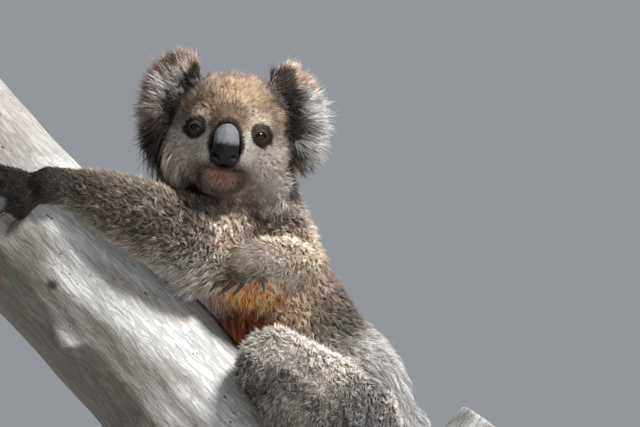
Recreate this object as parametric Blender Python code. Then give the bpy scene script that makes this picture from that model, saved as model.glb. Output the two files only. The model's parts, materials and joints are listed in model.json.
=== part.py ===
"""A life-size koala that sits in the fork of a cut gum limb, on a plain display stand.

Metres, +Z up. The origin is the middle of the stand's underside. The animal's chest and face look
towards -Y. Left and right are the animal's own, so its right arm reaches towards -X.
"""

from math import cos, pi, radians, sin

import bmesh
import bpy
from mathutils import Matrix, Vector

# ---- driving dimensions -------------------------------------------------------------------------

GAP = 0.0003  # clearance between pieces that touch
SHARP = radians(50)  # edges steeper than this stay crisp
GRAIN = 0.0045  # size of the cells that fuse the balls of one piece into one surface

BASE_SIZE = (0.50, 0.40, 0.025)
BASE_CORNER = 0.035
BASE_EDGE = 0.003
ROD_RADIUS = 0.012
ROD_PLACES = ((0.085, 0.010), (0.170, 0.010))
SAWN_FOOT = 0.087  # height of the limb's lower saw cut

# The limb: stations of (x, y, z, radius), from its foot upwards.
LIMB = (
    (0.125, 0.010, 0.055, 0.104),
    (0.082, 0.008, 0.112, 0.100),
    (0.006, 0.006, 0.203, 0.096),
    (-0.078, 0.003, 0.294, 0.093),
    (-0.164, 0.000, 0.390, 0.092),
    (-0.262, -0.003, 0.498, 0.094),
    (-0.385, -0.010, 0.635, 0.094),
)
FORK = (
    (0.132, 0.010, 0.045, 0.098),
    (0.165, 0.014, 0.095, 0.090),
    (0.214, 0.020, 0.151, 0.085),
    (0.264, 0.026, 0.210, 0.083),
    (0.312, 0.033, 0.268, 0.082),
)
LIMB_SAWN_AT = 0.760  # length along the limb to its upper saw cut
FORK_SAWN_OFF = 0.022  # how far before its last station the fork is sawn
# Bumps on the bark: (length along the limb, angle round it, lift off the bark) and half sizes.
KNOT = ((0.470, -38.0, -0.012), (0.024, 0.024, 0.024))
SWELLING = ((0.330, -60.0, -0.060), (0.074, 0.068, 0.074))

HEAD_CENTRE = Vector((-0.0350, -0.068, 0.6215))
HEAD_ROLL = radians(7.4)  # the crown leans towards the animal's left
EYE_RADIUS = 0.0092
EYE_PLACE = Vector((0.0347, -0.0505, -0.0065))  # in the head's own axes, on the animal's left
NOSE_SIZE = Vector((0.0158, 0.0150, 0.0235))
NOSE_PLACE = Vector((0.0, -0.0832, -0.0213))
EAR_SIZE = Vector((0.043, 0.020, 0.067))
EAR_PLACE = Vector((0.0765, 0.010, 0.0240))
EAR_LEAN = {"right": radians(8.0), "left": radians(20.0)}  # how far each ear's top leans inwards
EAR_FACING = radians(20.0)  # how far each ear faces outwards

# Soft chains: stations of (x, y, z, radius) out to the tips of the coat.
TRUNK = (
    (-0.037, -0.022, 0.594, 0.058),
    (-0.025, -0.004, 0.553, 0.065),
    (-0.021, 0.014, 0.522, 0.068),
    (-0.010, 0.022, 0.495, 0.071),
    (0.004, 0.024, 0.464, 0.070),
    (0.028, 0.024, 0.418, 0.067),
    (0.063, 0.023, 0.364, 0.068),
    (0.100, 0.021, 0.321, 0.068),
    (0.124, 0.020, 0.266, 0.058),
)
TRUNK_DEPTH = (1.0, 1.08, 1.18, 1.24, 1.26, 1.27, 1.28, 1.30, 1.30)  # how much wider than it is thick
TRUNK_CUTS = (2, 4, 6)  # the stations where the neck, chest, belly and rump meet
TRUNK_BULGES = (
    (0.006, 0.004, 0.417, 0.044),  # belly
    (-0.013, 0.012, 0.408, 0.044),  # lap, which rests on the limb
    (-0.040, 0.010, 0.456, 0.047),  # long chest coat, down to the limb
    (0.148, 0.016, 0.272, 0.045),  # rump tuft
)

UPPER_ARM = {
    "right": ((-0.036, -0.016, 0.514, 0.055), (-0.066, -0.052, 0.489, 0.053), (-0.090, -0.076, 0.497, 0.051)),
    "left": ((0.002, -0.012, 0.518, 0.045), (0.024, -0.030, 0.494, 0.037), (0.043, -0.024, 0.466, 0.030)),
}
FOREARM = {
    "right": (
        (-0.097, -0.083, 0.503, 0.047),
        (-0.128, -0.090, 0.516, 0.046),
        (-0.167, -0.092, 0.535, 0.038),
        (-0.203, -0.090, 0.550, 0.026),
    ),
    "left": ((0.044, -0.030, 0.466, 0.028), (0.027, -0.078, 0.472, 0.027), (0.003, -0.092, 0.476, 0.023)),
}
THIGH = {
    "left": ((0.096, -0.040, 0.279, 0.068), (0.057, -0.079, 0.312, 0.061), (0.016, -0.103, 0.349, 0.049)),
    "right": ((0.092, 0.078, 0.284, 0.067), (0.054, 0.112, 0.314, 0.060), (0.018, 0.130, 0.341, 0.047)),
}
# Hands and feet lie on the limb, so their places are (length along it, angle round it in degrees,
# lift off the bark). The angle is 0 towards the viewer, 90 towards the animal's belly.
ANKLE = {"left": (0.196, 34.0, 0.030), "right": (0.200, 146.0, 0.030)}
HEEL = {"left": (0.166, 44.0, 0.020), "right": (0.170, 136.0, 0.020)}
FOOT_MIDDLE = {"left": (0.205, 16.0, 0.019), "right": (0.209, 164.0, 0.019)}
TOES = {  # each toe's tip
    "left": ((0.182, -10.0), (0.196, -14.0), (0.218, -17.0), (0.240, -12.0)),
    "right": ((0.186, 190.0), (0.200, 194.0), (0.222, 197.0), (0.244, 192.0)),
}
HALLUX = {"left": (0.158, 14.0), "right": (0.162, 166.0)}  # the big toe, which has no claw
PALM = {"right": ((0.598, 40.0, 0.020), (0.616, 30.0, 0.018))}
PALM_RADIUS = 0.0225
HEEL_RADIUS = 0.021
SOLE_RADIUS = 0.0205
ANKLE_RADIUS = 0.027
SHIN_RADIUS = 0.037  # halfway down the shin
SHIN_BOW = 0.006  # how far it bows outwards there
LEFT_PALM = ((-0.010, -0.090, 0.472, 0.021), (-0.018, -0.084, 0.464, 0.021))
DIGITS = {"right": ((0.610, 3.0), (0.627, -1.0), (0.655, -3.0), (0.671, 4.0), (0.676, 14.0))}
TIP_LIFT = 0.0065
TOE_LIFT = 0.0075
DIGIT_ARCH = 0.004  # how far a digit's middle arches off what it holds
LEFT_DIGITS = (  # the first two spread away from the other three
    (-0.047, -0.078, 0.463),
    (-0.043, -0.074, 0.450),
    (-0.031, -0.082, 0.446),
    (-0.018, -0.086, 0.450),
    (-0.002, -0.088, 0.459),
)
DIGIT_RADIUS = (0.0098, 0.0070)  # at its root and at its tip
TOE_RADIUS = (0.0115, 0.0085)
CLAW_LENGTH = {"hand": 0.023, "foot": 0.021}
CLAW_RADIUS = {"hand": 0.0032, "foot": 0.0034}
CLAW_TIP_RADIUS = 0.0006
CLAW_INSET = 0.005  # how deep a claw is rooted in its digit

KNEE_SHARE = 0.84  # how thick the shin starts inside the knee
WRIST_SHARE = 0.84

PIECE_FACES = {"head": 460, "jaw": 84, "nose": 96, "ear": 150, "trunk": 460, "limb": 104, "paw": 176, "perch": 500}


# ---- tools --------------------------------------------------------------------------------------


def material(name, colour, roughness, metallic=0.0):
    made = bpy.data.materials.new(name)
    made.use_nodes = True
    shader = made.node_tree.nodes["Principled BSDF"]
    shader.inputs["Base Color"].default_value = (*colour, 1.0)
    shader.inputs["Roughness"].default_value = roughness
    shader.inputs["Metallic"].default_value = metallic
    return made


def object_from(bm, name, finish=None):
    mesh = bpy.data.meshes.new(name)
    bm.to_mesh(mesh)
    bm.free()
    made = bpy.data.objects.new(name, mesh)
    bpy.context.scene.collection.objects.link(made)
    if finish:
        mesh.materials.append(finish)
    return made


def bake_modifiers(obj):
    """Turns what the modifiers make into the object's own mesh."""
    graph = bpy.context.evaluated_depsgraph_get()
    mesh = bpy.data.meshes.new_from_object(obj.evaluated_get(graph), depsgraph=graph)
    obj.modifiers.clear()
    obj.data = mesh


def ball(bm, centre, radii, turn=None, detail=3):
    """One ellipsoid; radii may be one number."""
    if not hasattr(radii, "__len__"):
        radii = (radii, radii, radii)
    place = Matrix.Translation(Vector(centre))
    if turn is not None:
        place = place @ turn.to_4x4()
    bmesh.ops.create_icosphere(bm, subdivisions=detail, radius=1.0, matrix=place @ Matrix.Diagonal((*radii, 1.0)))


def smooth_path(stations, steps):
    """Points, such as (x, y, z, radius), on a smooth curve through the stations."""
    points = [Vector(station) for station in stations]
    if len(points) == 2:
        return [points[0].lerp(points[1], i / steps) for i in range(steps + 1)]
    path = []
    for i in range(len(points) - 1):
        before = points[i - 1] if i else points[0] * 2 - points[1]
        after = points[i + 2] if i + 2 < len(points) else points[-1] * 2 - points[-2]
        for step in range(steps):
            t = step / steps
            path.append(
                0.5
                * (
                    2 * points[i]
                    + (points[i + 1] - before) * t
                    + (2 * before - 5 * points[i] + 4 * points[i + 1] - after) * t**2
                    + (3 * points[i] - before - 3 * points[i + 1] + after) * t**3
                )
            )
    return path + [points[-1]]


def chain(bm, stations, steps=6, depth=1.0, detail=3):
    """A row of overlapping balls through the stations; depth stretches each one along Y."""
    for x, y, z, radius in smooth_path(stations, steps):
        ball(bm, (x, y, z), (radius, radius * depth, radius), detail=detail)


def fused(bm, name, finish, faces, cell=GRAIN, smoothing=6):
    """Fuses the balls in bm into one smooth closed surface of about that many triangles."""
    obj = object_from(bm, name, finish)
    remesh = obj.modifiers.new("fuse", "REMESH")
    remesh.mode = "VOXEL"
    remesh.voxel_size = cell
    soften = obj.modifiers.new("soften", "SMOOTH")
    soften.factor = 0.5
    soften.iterations = smoothing
    bake_modifiers(obj)
    thin = obj.modifiers.new("thin", "DECIMATE")
    thin.use_collapse_triangulate = True
    thin.ratio = min(1.0, faces / (2.0 * len(obj.data.polygons)))
    bake_modifiers(obj)
    return obj


def cutter_of(obj):
    """A copy of the piece that is larger by the clearance all round."""
    cutter = bpy.data.objects.new("cut_by_" + obj.name, obj.data.copy())
    bpy.context.scene.collection.objects.link(cutter)
    swell = cutter.modifiers.new("swell", "DISPLACE")
    swell.strength = GAP
    swell.mid_level = 0.0
    bake_modifiers(cutter)
    cutter.hide_render = True
    cutter.display_type = "WIRE"
    return cutter


def corners(obj):
    low = Vector([min(v.co[i] for v in obj.data.vertices) for i in range(3)])
    high = Vector([max(v.co[i] for v in obj.data.vertices) for i in range(3)])
    return low, high


def may_touch(first, second):
    (low_a, high_a), (low_b, high_b) = corners(first), corners(second)
    return all(low_a[i] <= high_b[i] and low_b[i] <= high_a[i] for i in range(3))


def keep_largest(obj):
    """Drops the crumbs that a cut leaves beside the piece itself."""
    bm = bmesh.new()
    bm.from_mesh(obj.data)
    unseen = set(bm.verts)
    islands = []
    while unseen:
        island, edge = set(), [next(iter(unseen))]
        while edge:
            vert = edge.pop()
            if vert in island:
                continue
            island.add(vert)
            edge.extend(e.other_vert(vert) for e in vert.link_edges)
        unseen -= island
        islands.append(island)
    islands.sort(key=len, reverse=True)
    crumbs = [vert for island in islands[1:] for vert in island]
    bmesh.ops.delete(bm, geom=crumbs, context="VERTS")
    bm.to_mesh(obj.data)
    bm.free()


def fit(obj, cutters):
    """Cuts the piece back from every earlier piece that it meets."""
    met = [cutter for cutter in cutters if may_touch(obj, cutter)]
    for cutter in met:
        cut = obj.modifiers.new("cut", "BOOLEAN")
        cut.operation = "DIFFERENCE"
        cut.solver = "EXACT"
        cut.object = cutter
    if met:
        bake_modifiers(obj)
        keep_largest(obj)
    obj.data.shade_smooth()
    obj.data.set_sharp_from_angle(angle=SHARP)


# ---- the limb and the stand ---------------------------------------------------------------------


def limb_place(length):
    """(centre, direction upwards, direction to the belly side, radius) that far along the limb."""
    path = smooth_path(LIMB, 12)
    walked = 0.0
    for here, there in zip(path, path[1:]):
        reach = (there.xyz - here.xyz).length
        if walked + reach >= length or there is path[-1]:
            at = here.lerp(there, (length - walked) / reach)
            along = (there.xyz - here.xyz).normalized()
            side = Vector((along.z, 0.0, -along.x)).normalized()
            return at.xyz, along, side, at.w
        walked += reach


def on_limb(length, angle, lift):
    """A point that far off the bark, and the direction off the bark there."""
    centre, along, side, radius = limb_place(length)
    off = Vector((0.0, -1.0, 0.0)) * cos(radians(angle)) + side * sin(radians(angle))
    return centre + off * (radius + lift), off


def saw(bm, place, away):
    """Cuts off what lies beyond a plane and closes the cut flat."""
    everything = bm.verts[:] + bm.edges[:] + bm.faces[:]
    cut = bmesh.ops.bisect_plane(bm, geom=everything, plane_co=place, plane_no=away, clear_outer=True)
    rim = [item for item in cut["geom_cut"] if isinstance(item, bmesh.types.BMEdge)]
    bmesh.ops.triangle_fill(bm, edges=rim, use_beauty=True)
    bmesh.ops.recalc_face_normals(bm, faces=bm.faces[:])


def make_perch(finish):
    bm = bmesh.new()
    chain(bm, LIMB, steps=5)
    chain(bm, FORK, steps=4)
    for place, size in (KNOT, SWELLING):
        ball(bm, on_limb(*place)[0], size)
    perch = fused(bm, "perch", finish, PIECE_FACES["perch"], cell=0.007, smoothing=8)
    bm = bmesh.new()
    bm.from_mesh(perch.data)
    saw(bm, (0.0, 0.0, SAWN_FOOT), (0.0, 0.0, -1.0))
    top, along, _, _ = limb_place(LIMB_SAWN_AT)
    saw(bm, top, along)
    fork_end = Vector(FORK[-1]).xyz
    fork_along = (fork_end - Vector(FORK[-2]).xyz).normalized()
    saw(bm, fork_end - fork_along * FORK_SAWN_OFF, fork_along)
    bm.to_mesh(perch.data)
    bm.free()
    return perch


def make_stand(finish_base, finish_rod):
    width, depth, thickness = BASE_SIZE
    bm = bmesh.new()
    bmesh.ops.create_cube(bm, size=1.0, matrix=Matrix.Diagonal((width, depth, thickness, 1.0)))
    bmesh.ops.translate(bm, verts=bm.verts[:], vec=(0.0, 0.0, thickness / 2))
    upright = [e for e in bm.edges if abs(e.verts[0].co.z - e.verts[1].co.z) > thickness / 2]
    bmesh.ops.bevel(bm, geom=upright, offset=BASE_CORNER, segments=4, profile=0.5, affect="EDGES", material=-1)
    top_rim = [e for e in bm.edges if min(v.co.z for v in e.verts) > thickness * 0.9]
    bmesh.ops.bevel(bm, geom=top_rim, offset=BASE_EDGE, segments=1, profile=0.5, affect="EDGES", material=-1)
    base = object_from(bm, "stand_base", finish_base)
    rods = []
    for number, (x, y) in enumerate(ROD_PLACES, 1):
        bm = bmesh.new()
        low, high = thickness + GAP, SAWN_FOOT - GAP
        bmesh.ops.create_cone(
            bm, cap_ends=True, segments=20, radius1=ROD_RADIUS, radius2=ROD_RADIUS, depth=high - low,
            matrix=Matrix.Translation((x, y, (low + high) / 2)),
        )
        rod = object_from(bm, f"stand_rod_{number}", finish_rod)
        rod.data.shade_smooth()
        rod.data.set_sharp_from_angle(angle=SHARP)
        rods.append(rod)
    return base, rods


# ---- the trunk ----------------------------------------------------------------------------------


def make_trunk(finishes):
    """Models the trunk whole, then parts it with thin cuts into the pieces named."""
    bm = bmesh.new()
    stations = [(*station, depth) for station, depth in zip(TRUNK, TRUNK_DEPTH)]
    for x, y, z, radius, depth in smooth_path(stations, 5):
        ball(bm, (x, y, z), (radius, radius * depth, radius))
    for *place, radius in TRUNK_BULGES:
        ball(bm, place, radius)
    whole = fused(bm, "trunk", None, PIECE_FACES["trunk"])
    cuts = []
    for i in TRUNK_CUTS:
        along = Vector(TRUNK[i + 1][:3]) - Vector(TRUNK[i - 1][:3])
        cuts.append((Vector(TRUNK[i][:3]), along.normalized()))
    pieces = []
    for number, (name, finish) in enumerate(finishes.items()):
        bm = bmesh.new()
        bm.from_mesh(whole.data)
        if number:
            place, along = cuts[number - 1]
            saw(bm, place + along * (GAP / 2), -along)
        if number < len(cuts):
            place, along = cuts[number]
            saw(bm, place - along * (GAP / 2), along)
        pieces.append(object_from(bm, name, finish))
    bpy.data.objects.remove(whole)
    return pieces


# ---- hands and feet -----------------------------------------------------------------------------


def claw(name, root, tip_point, finish, length, radius):
    """A tapering claw that leaves the digit and bends down onto what it grips."""
    forward = (tip_point - root).normalized()
    stations = 5
    bend = length * 0.30
    down = towards_limb(root)
    down = (down - forward * down.dot(forward)).normalized()
    curve = bpy.data.curves.new(name, "CURVE")
    curve.dimensions = "3D"
    curve.bevel_depth = 1.0
    curve.bevel_resolution = 1
    curve.use_fill_caps = True
    line = curve.splines.new("POLY")
    line.points.add(stations - 1)
    for i in range(stations):
        t = i / (stations - 1)
        at = root + forward * (length * t) + down * (bend * t**2)
        line.points[i].co = (*at, 1.0)
        line.points[i].radius = radius * (1.0 - t) ** 0.75 + CLAW_TIP_RADIUS
    guide = bpy.data.objects.new(name + "_line", curve)
    bpy.context.scene.collection.objects.link(guide)
    graph = bpy.context.evaluated_depsgraph_get()
    mesh = bpy.data.meshes.new_from_object(guide.evaluated_get(graph), depsgraph=graph)
    bpy.data.objects.remove(guide)
    bm = bmesh.new()
    bm.from_mesh(mesh)
    bmesh.ops.remove_doubles(bm, verts=bm.verts[:], dist=1e-5)
    bmesh.ops.recalc_face_normals(bm, faces=bm.faces[:])
    return object_from(bm, name, finish)


def towards_limb(point):
    """The direction from a point near the limb straight to the middle of the limb."""
    nearest = min(smooth_path(LIMB, 12), key=lambda at: (at.xyz - point).length)
    return (nearest.xyz - point).normalized()


def digit_path(root, tip, steps=5):
    """Centres from the palm or sole to the digit's tip, kept off the bark."""
    path = []
    for i in range(steps + 1):
        t = i / steps
        at = root.lerp(tip, t)
        path.append(at - towards_limb(at) * sin(pi * t) * DIGIT_ARCH)
    return path


def make_paw(name, palm, tips, radii, claw_kind, finish, claw_finish, clawless=0):
    """A hand or foot with its digits, and its claws as separate pieces.

    palm is a list of (x, y, z, radius); the first clawless tips have no claw.
    """
    bm = bmesh.new()
    chain(bm, palm, steps=4)
    middle = Vector(palm[-1]).xyz
    claws = []
    for number, tip in enumerate(tips, 1):
        path = digit_path(middle.lerp(tip, 0.15), tip)
        for i, at in enumerate(path):
            share = i / (len(path) - 1)
            ball(bm, at, radii[0] + (radii[1] - radii[0]) * share, detail=2)
        if number > clawless:
            forward = (path[-1] - path[-2]).normalized()
            root = tip - forward * CLAW_INSET + forward * radii[1] * 0.6
            length = CLAW_LENGTH[claw_kind] + CLAW_INSET
            claws.append(
                claw(f"claw_{name}_{number}", root, root + forward, claw_finish, length, CLAW_RADIUS[claw_kind])
            )
    paw = fused(bm, name, finish, PIECE_FACES["paw"], cell=0.0028, smoothing=3)
    return paw, claws


# ---- the head -----------------------------------------------------------------------------------


def head_axes():
    return Matrix.Translation(HEAD_CENTRE) @ Matrix.Rotation(HEAD_ROLL, 4, "Y")


def make_head(finish, skin_finish):
    """The head and the lower jaw, in the head's own axes: x to its left, y to its back, z up."""
    bm = bmesh.new()
    ball(bm, (0.0, 0.008, 0.006), (0.068, 0.064, 0.059))  # cranium
    ball(bm, (0.0, -0.020, 0.014), (0.051, 0.042, 0.044))  # forehead
    ball(bm, (0.0, -0.022, -0.016), (0.062, 0.041, 0.051))  # face
    ball(bm, (0.0, -0.050, -0.003), (0.022, 0.033, 0.025))  # bridge of the nose
    ball(bm, (0.0, -0.059, -0.026), (0.030, 0.031, 0.032))  # muzzle
    for side in (-1, 1):
        ball(bm, (side * 0.030, -0.038, 0.008), (0.020, 0.018, 0.015))  # brow
        ball(bm, (side * 0.018, -0.054, -0.038), (0.020, 0.024, 0.020))  # lip pad
        ball(bm, (side * 0.040, -0.012, -0.027), (0.033, 0.040, 0.038))  # cheek
        ball(bm, (side * 0.042, 0.010, -0.046), (0.034, 0.036, 0.030))  # cheek ruff
    head = fused(bm, "head", finish, PIECE_FACES["head"], cell=0.0035, smoothing=5)
    bm = bmesh.new()
    ball(bm, (0.0, -0.046, -0.058), (0.028, 0.030, 0.021))
    ball(bm, (0.0, -0.012, -0.060), (0.036, 0.030, 0.022))
    jaw = fused(bm, "lower_jaw", skin_finish, PIECE_FACES["jaw"], cell=0.0035, smoothing=4)
    return head, jaw


def make_sockets(head):
    """Hollows the head round each eye, so that the eye sits below the brow."""
    for side in (-1, 1):
        bm = bmesh.new()
        place = Vector((side * EYE_PLACE.x, EYE_PLACE.y, EYE_PLACE.z))
        outward = Vector((side * 0.46, -0.88, 0.05)).normalized()
        ball(bm, place + outward * 0.0085, (0.0125, 0.0125, 0.0105), detail=2)
        hollow = object_from(bm, "socket")
        hollow.hide_render = True
        hollow.display_type = "WIRE"
        cut = head.modifiers.new("socket", "BOOLEAN")
        cut.operation = "DIFFERENCE"
        cut.object = hollow
    bake_modifiers(head)


def make_eye(side_name, side, finish):
    bm = bmesh.new()
    place = Vector((side * EYE_PLACE.x, EYE_PLACE.y, EYE_PLACE.z))
    bmesh.ops.create_uvsphere(bm, u_segments=10, v_segments=6, radius=EYE_RADIUS, matrix=Matrix.Translation(place))
    return object_from(bm, f"eye_{side_name}", finish)


def make_nose(finish):
    """The bare leathery pad, broad and blunt above and narrower at the lip."""
    bm = bmesh.new()
    ball(bm, NOSE_PLACE, NOSE_SIZE)
    ball(bm, NOSE_PLACE + Vector((0.0, -0.001, 0.010)), (0.0148, 0.0125, 0.0148))
    for side in (-1, 1):
        ball(bm, NOSE_PLACE + Vector((side * 0.0075, 0.001, -0.0145)), (0.0098, 0.0115, 0.0098))  # nostril wing
    return fused(bm, "nose", finish, PIECE_FACES["nose"], cell=0.002, smoothing=3)


def make_ear(side_name, side, finish):
    """A thick round ear, dished in front."""
    lean = Matrix.Rotation(-side * EAR_LEAN[side_name], 3, "Y")
    facing = Matrix.Rotation(side * EAR_FACING, 3, "Z")
    turn = lean @ facing
    middle = Vector((side * EAR_PLACE.x, EAR_PLACE.y, EAR_PLACE.z))
    bm = bmesh.new()
    ball(bm, middle, EAR_SIZE, turn)
    ball(bm, middle + turn @ Vector((0.0, 0.006, -0.010)), (0.036, 0.022, 0.046), turn)
    ear = fused(bm, f"ear_{side_name}", finish, PIECE_FACES["ear"], cell=0.003, smoothing=4)
    bm = bmesh.new()
    ball(bm, middle + turn @ Vector((-side * 0.006, -0.024, -0.002)), (0.029, 0.019, 0.041), turn, detail=2)
    dish = object_from(bm, "dish")
    dish.hide_render = True
    dish.display_type = "WIRE"
    cut = ear.modifiers.new("dish", "BOOLEAN")
    cut.operation = "DIFFERENCE"
    cut.object = dish
    bake_modifiers(ear)
    return ear


# ---- the whole ----------------------------------------------------------------------------------


def build():
    for old in list(bpy.data.objects):
        bpy.data.objects.remove(old)

    coat = material("grey_coat", (0.20, 0.17, 0.15), 0.9)
    pale = material("pale_coat", (0.42, 0.38, 0.33), 0.9)
    rusty = material("rusty_coat", (0.30, 0.15, 0.07), 0.9)
    dark_skin = material("dark_skin", (0.02, 0.02, 0.022), 0.5)
    eye_finish = material("eye", (0.03, 0.018, 0.010), 0.1)
    horn = material("claw_horn", (0.03, 0.025, 0.022), 0.35)
    bark = material("gum_bark", (0.48, 0.48, 0.46), 0.75)
    base_finish = material("stand_black", (0.03, 0.03, 0.032), 0.45)
    rod_finish = material("stand_steel", (0.35, 0.35, 0.36), 0.35, 1.0)

    perch = make_perch(bark)
    make_stand(base_finish, rod_finish)

    axes = head_axes()
    head, jaw = make_head(coat, pale)
    make_sockets(head)
    nose = make_nose(dark_skin)
    sides = (("right", -1), ("left", 1))
    eyes = [make_eye(name, side, eye_finish) for name, side in sides]
    ears = [make_ear(name, side, coat) for name, side in sides]
    for piece in [head, jaw, nose, *eyes, *ears]:
        piece.data.transform(axes)

    hands, feet, claws = [], [], []
    for name, _ in sides:
        *wrist, thickness = FOREARM[name][-1]
        wrist.append(thickness * WRIST_SHARE)
        if name == "right":
            palm = [wrist] + [(*on_limb(s, a, lift)[0], PALM_RADIUS) for s, a, lift in PALM[name]]
            tips = [on_limb(s, a, TIP_LIFT)[0] for s, a in DIGITS[name]]
        else:
            palm = [wrist, *LEFT_PALM]
            tips = [Vector(tip) for tip in LEFT_DIGITS]
        hand, nails = make_paw(f"hand_{name}", palm, tips, DIGIT_RADIUS, "hand", dark_skin, horn)
        hands.append(hand)
        claws += nails
        sole = [(*on_limb(*HEEL[name])[0], HEEL_RADIUS), (*on_limb(*FOOT_MIDDLE[name])[0], SOLE_RADIUS)]
        tips = [on_limb(s, a, TOE_LIFT)[0] for s, a in (HALLUX[name], *TOES[name])]
        foot, nails = make_paw(f"foot_{name}", sole, tips, TOE_RADIUS, "foot", dark_skin, horn, clawless=1)
        feet.append(foot)
        claws += nails

    shins, forearms, arms, thighs = [], [], [], []
    for name, side in sides:
        *knee, thickness = THIGH[name][-1]
        ankle = (*on_limb(*ANKLE[name])[0], ANKLE_RADIUS)
        half = Vector((*knee, 0.0)).lerp(Vector(ankle), 0.5)
        bowed = half.y - side * SHIN_BOW
        shin = ((*knee, thickness * KNEE_SHARE), (half.x, bowed, half.z, SHIN_RADIUS), ankle)
        for stations, part, found in (
            (shin, "shin", shins),
            (FOREARM[name], "forearm", forearms),
            (UPPER_ARM[name], "upper_arm", arms),
            (THIGH[name], "thigh", thighs),
        ):
            bm = bmesh.new()
            chain(bm, stations)
            found.append(fused(bm, f"{part}_{name}", coat, PIECE_FACES["limb"]))

    torso = make_trunk({"neck": coat, "chest": pale, "belly": rusty, "rump": coat})

    cutters = [cutter_of(perch)]
    for piece in [*eyes, nose, *claws, head, jaw, *ears, *hands, *feet, *forearms, *shins, *arms, *thighs, *torso]:
        whole = cutter_of(piece)
        fit(piece, cutters)
        cutters.append(whole)


build()
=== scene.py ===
import json
from math import cos, pi, radians, sin, sqrt

import bmesh
import bpy
import numpy as np
from mathutils import Matrix, Vector
from mathutils.bvhtree import BVHTree
from mathutils.kdtree import KDTree

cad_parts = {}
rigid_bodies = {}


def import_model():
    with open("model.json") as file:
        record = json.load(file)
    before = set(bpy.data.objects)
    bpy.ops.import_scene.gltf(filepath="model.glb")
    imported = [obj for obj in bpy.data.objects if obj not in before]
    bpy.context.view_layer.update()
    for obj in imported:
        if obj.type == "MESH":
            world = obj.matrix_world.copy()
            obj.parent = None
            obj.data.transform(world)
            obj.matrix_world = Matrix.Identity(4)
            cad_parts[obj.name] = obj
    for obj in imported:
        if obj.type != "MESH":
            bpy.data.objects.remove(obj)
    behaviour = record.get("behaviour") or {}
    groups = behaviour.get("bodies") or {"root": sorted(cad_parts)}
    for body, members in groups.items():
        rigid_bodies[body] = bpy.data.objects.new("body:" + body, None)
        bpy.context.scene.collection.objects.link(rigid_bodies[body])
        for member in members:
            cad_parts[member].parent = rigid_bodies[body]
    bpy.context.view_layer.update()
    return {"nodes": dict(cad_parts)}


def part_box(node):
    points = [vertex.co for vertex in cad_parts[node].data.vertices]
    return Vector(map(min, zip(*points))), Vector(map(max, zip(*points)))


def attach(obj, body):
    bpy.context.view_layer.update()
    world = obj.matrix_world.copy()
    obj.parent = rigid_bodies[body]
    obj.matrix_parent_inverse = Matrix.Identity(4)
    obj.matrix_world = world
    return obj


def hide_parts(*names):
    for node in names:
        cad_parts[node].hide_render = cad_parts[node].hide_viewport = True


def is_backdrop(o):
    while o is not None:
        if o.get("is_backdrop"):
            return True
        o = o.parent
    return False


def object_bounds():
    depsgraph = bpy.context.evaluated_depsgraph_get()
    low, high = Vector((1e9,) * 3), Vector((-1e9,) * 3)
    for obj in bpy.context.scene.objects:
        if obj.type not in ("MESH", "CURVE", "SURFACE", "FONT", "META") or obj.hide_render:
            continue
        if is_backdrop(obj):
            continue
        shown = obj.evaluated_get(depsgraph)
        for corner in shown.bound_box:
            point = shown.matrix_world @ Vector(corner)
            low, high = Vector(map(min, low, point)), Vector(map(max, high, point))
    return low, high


for spare in list(bpy.data.objects):
    bpy.data.objects.remove(spare)
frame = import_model()
nodes = frame["nodes"]
sides = ("right", "left")
down = np.array((0.0, 0.0, -1.0))


# small tools

def unit(rows):
    rows = np.asarray(rows, dtype=float)
    return rows / np.maximum(np.linalg.norm(rows, axis=-1, keepdims=True), 1e-9)


def swung(a, b, angle):
    return a * np.cos(angle)[:, None] + b * np.sin(angle)[:, None]


def rise(values, start, end):  # 0 before start, 1 after end, smooth between
    share = np.clip((values - start) / (end - start), 0.0, 1.0)
    return share * share * (3.0 - 2.0 * share)


def towards(a, b, share):
    share = np.asarray(share, dtype=float)
    if np.ndim(share):
        share = share[:, None]
    return a + (b - a) * share


def paint(red, green, blue):  # a paint chip's 0 to 255 values as linear colour
    chip = np.array((red, green, blue)) / 255.0
    return np.where(chip <= 0.04045, chip / 12.92, ((chip + 0.055) / 1.055) ** 2.4)


def ripple(points, size, seed, layers=8):  # soft seeded noise, mostly within -1 to 1
    chance = np.random.default_rng(seed)
    total = np.zeros(len(points))
    for _ in range(layers):
        way = unit(chance.normal(size=3)) * (2.0 * pi / size) * chance.uniform(0.6, 1.5)
        total += np.sin(points @ way + chance.uniform(0.0, 2.0 * pi))
    return total / sqrt(layers) * 0.9


def middleOf(node):
    low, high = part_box(node)
    return (np.array(low) + np.array(high)) / 2.0


def spot(points, centre, size):  # 1 at the centre, fading out at the given half sizes
    apart = np.linalg.norm((points - np.asarray(centre)) / np.asarray(size), axis=1)
    return 1.0 - rise(apart, 0.55, 1.15)


def inBox(node, *fractions):
    low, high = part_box(node)
    return np.array(low) + (np.array(high) - np.array(low)) * np.array(fractions)


def readAll(items, key, width, kind=np.float64):
    found = np.empty(len(items) * width, dtype=kind)
    items.foreach_get(key, found)
    return found.reshape(-1, width)


def pointsOf(mesh):
    return readAll(mesh.vertices, "co", 3)


def normalsOf(mesh):
    return unit(readAll(mesh.vertex_normals, "vector", 3, np.float32))


def movePoints(mesh, points):
    mesh.vertices.foreach_set("co", points.ravel())
    mesh.update()


def edgesOf(mesh):
    return readAll(mesh.edges, "vertices", 2, np.int32)


def eased(values, edges, rounds, share=0.5):  # each value moves towards its neighbours' mean
    values = values.copy()
    count = np.bincount(edges.ravel(), minlength=len(values))
    for _ in range(rounds):
        for column in range(values.shape[1]):
            here = values[:, column]
            total = np.bincount(edges[:, 0], weights=here[edges[:, 1]], minlength=len(here))
            total += np.bincount(edges[:, 1], weights=here[edges[:, 0]], minlength=len(here))
            values[:, column] = here + (total / np.maximum(count, 1) - here) * share
    return values


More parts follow.
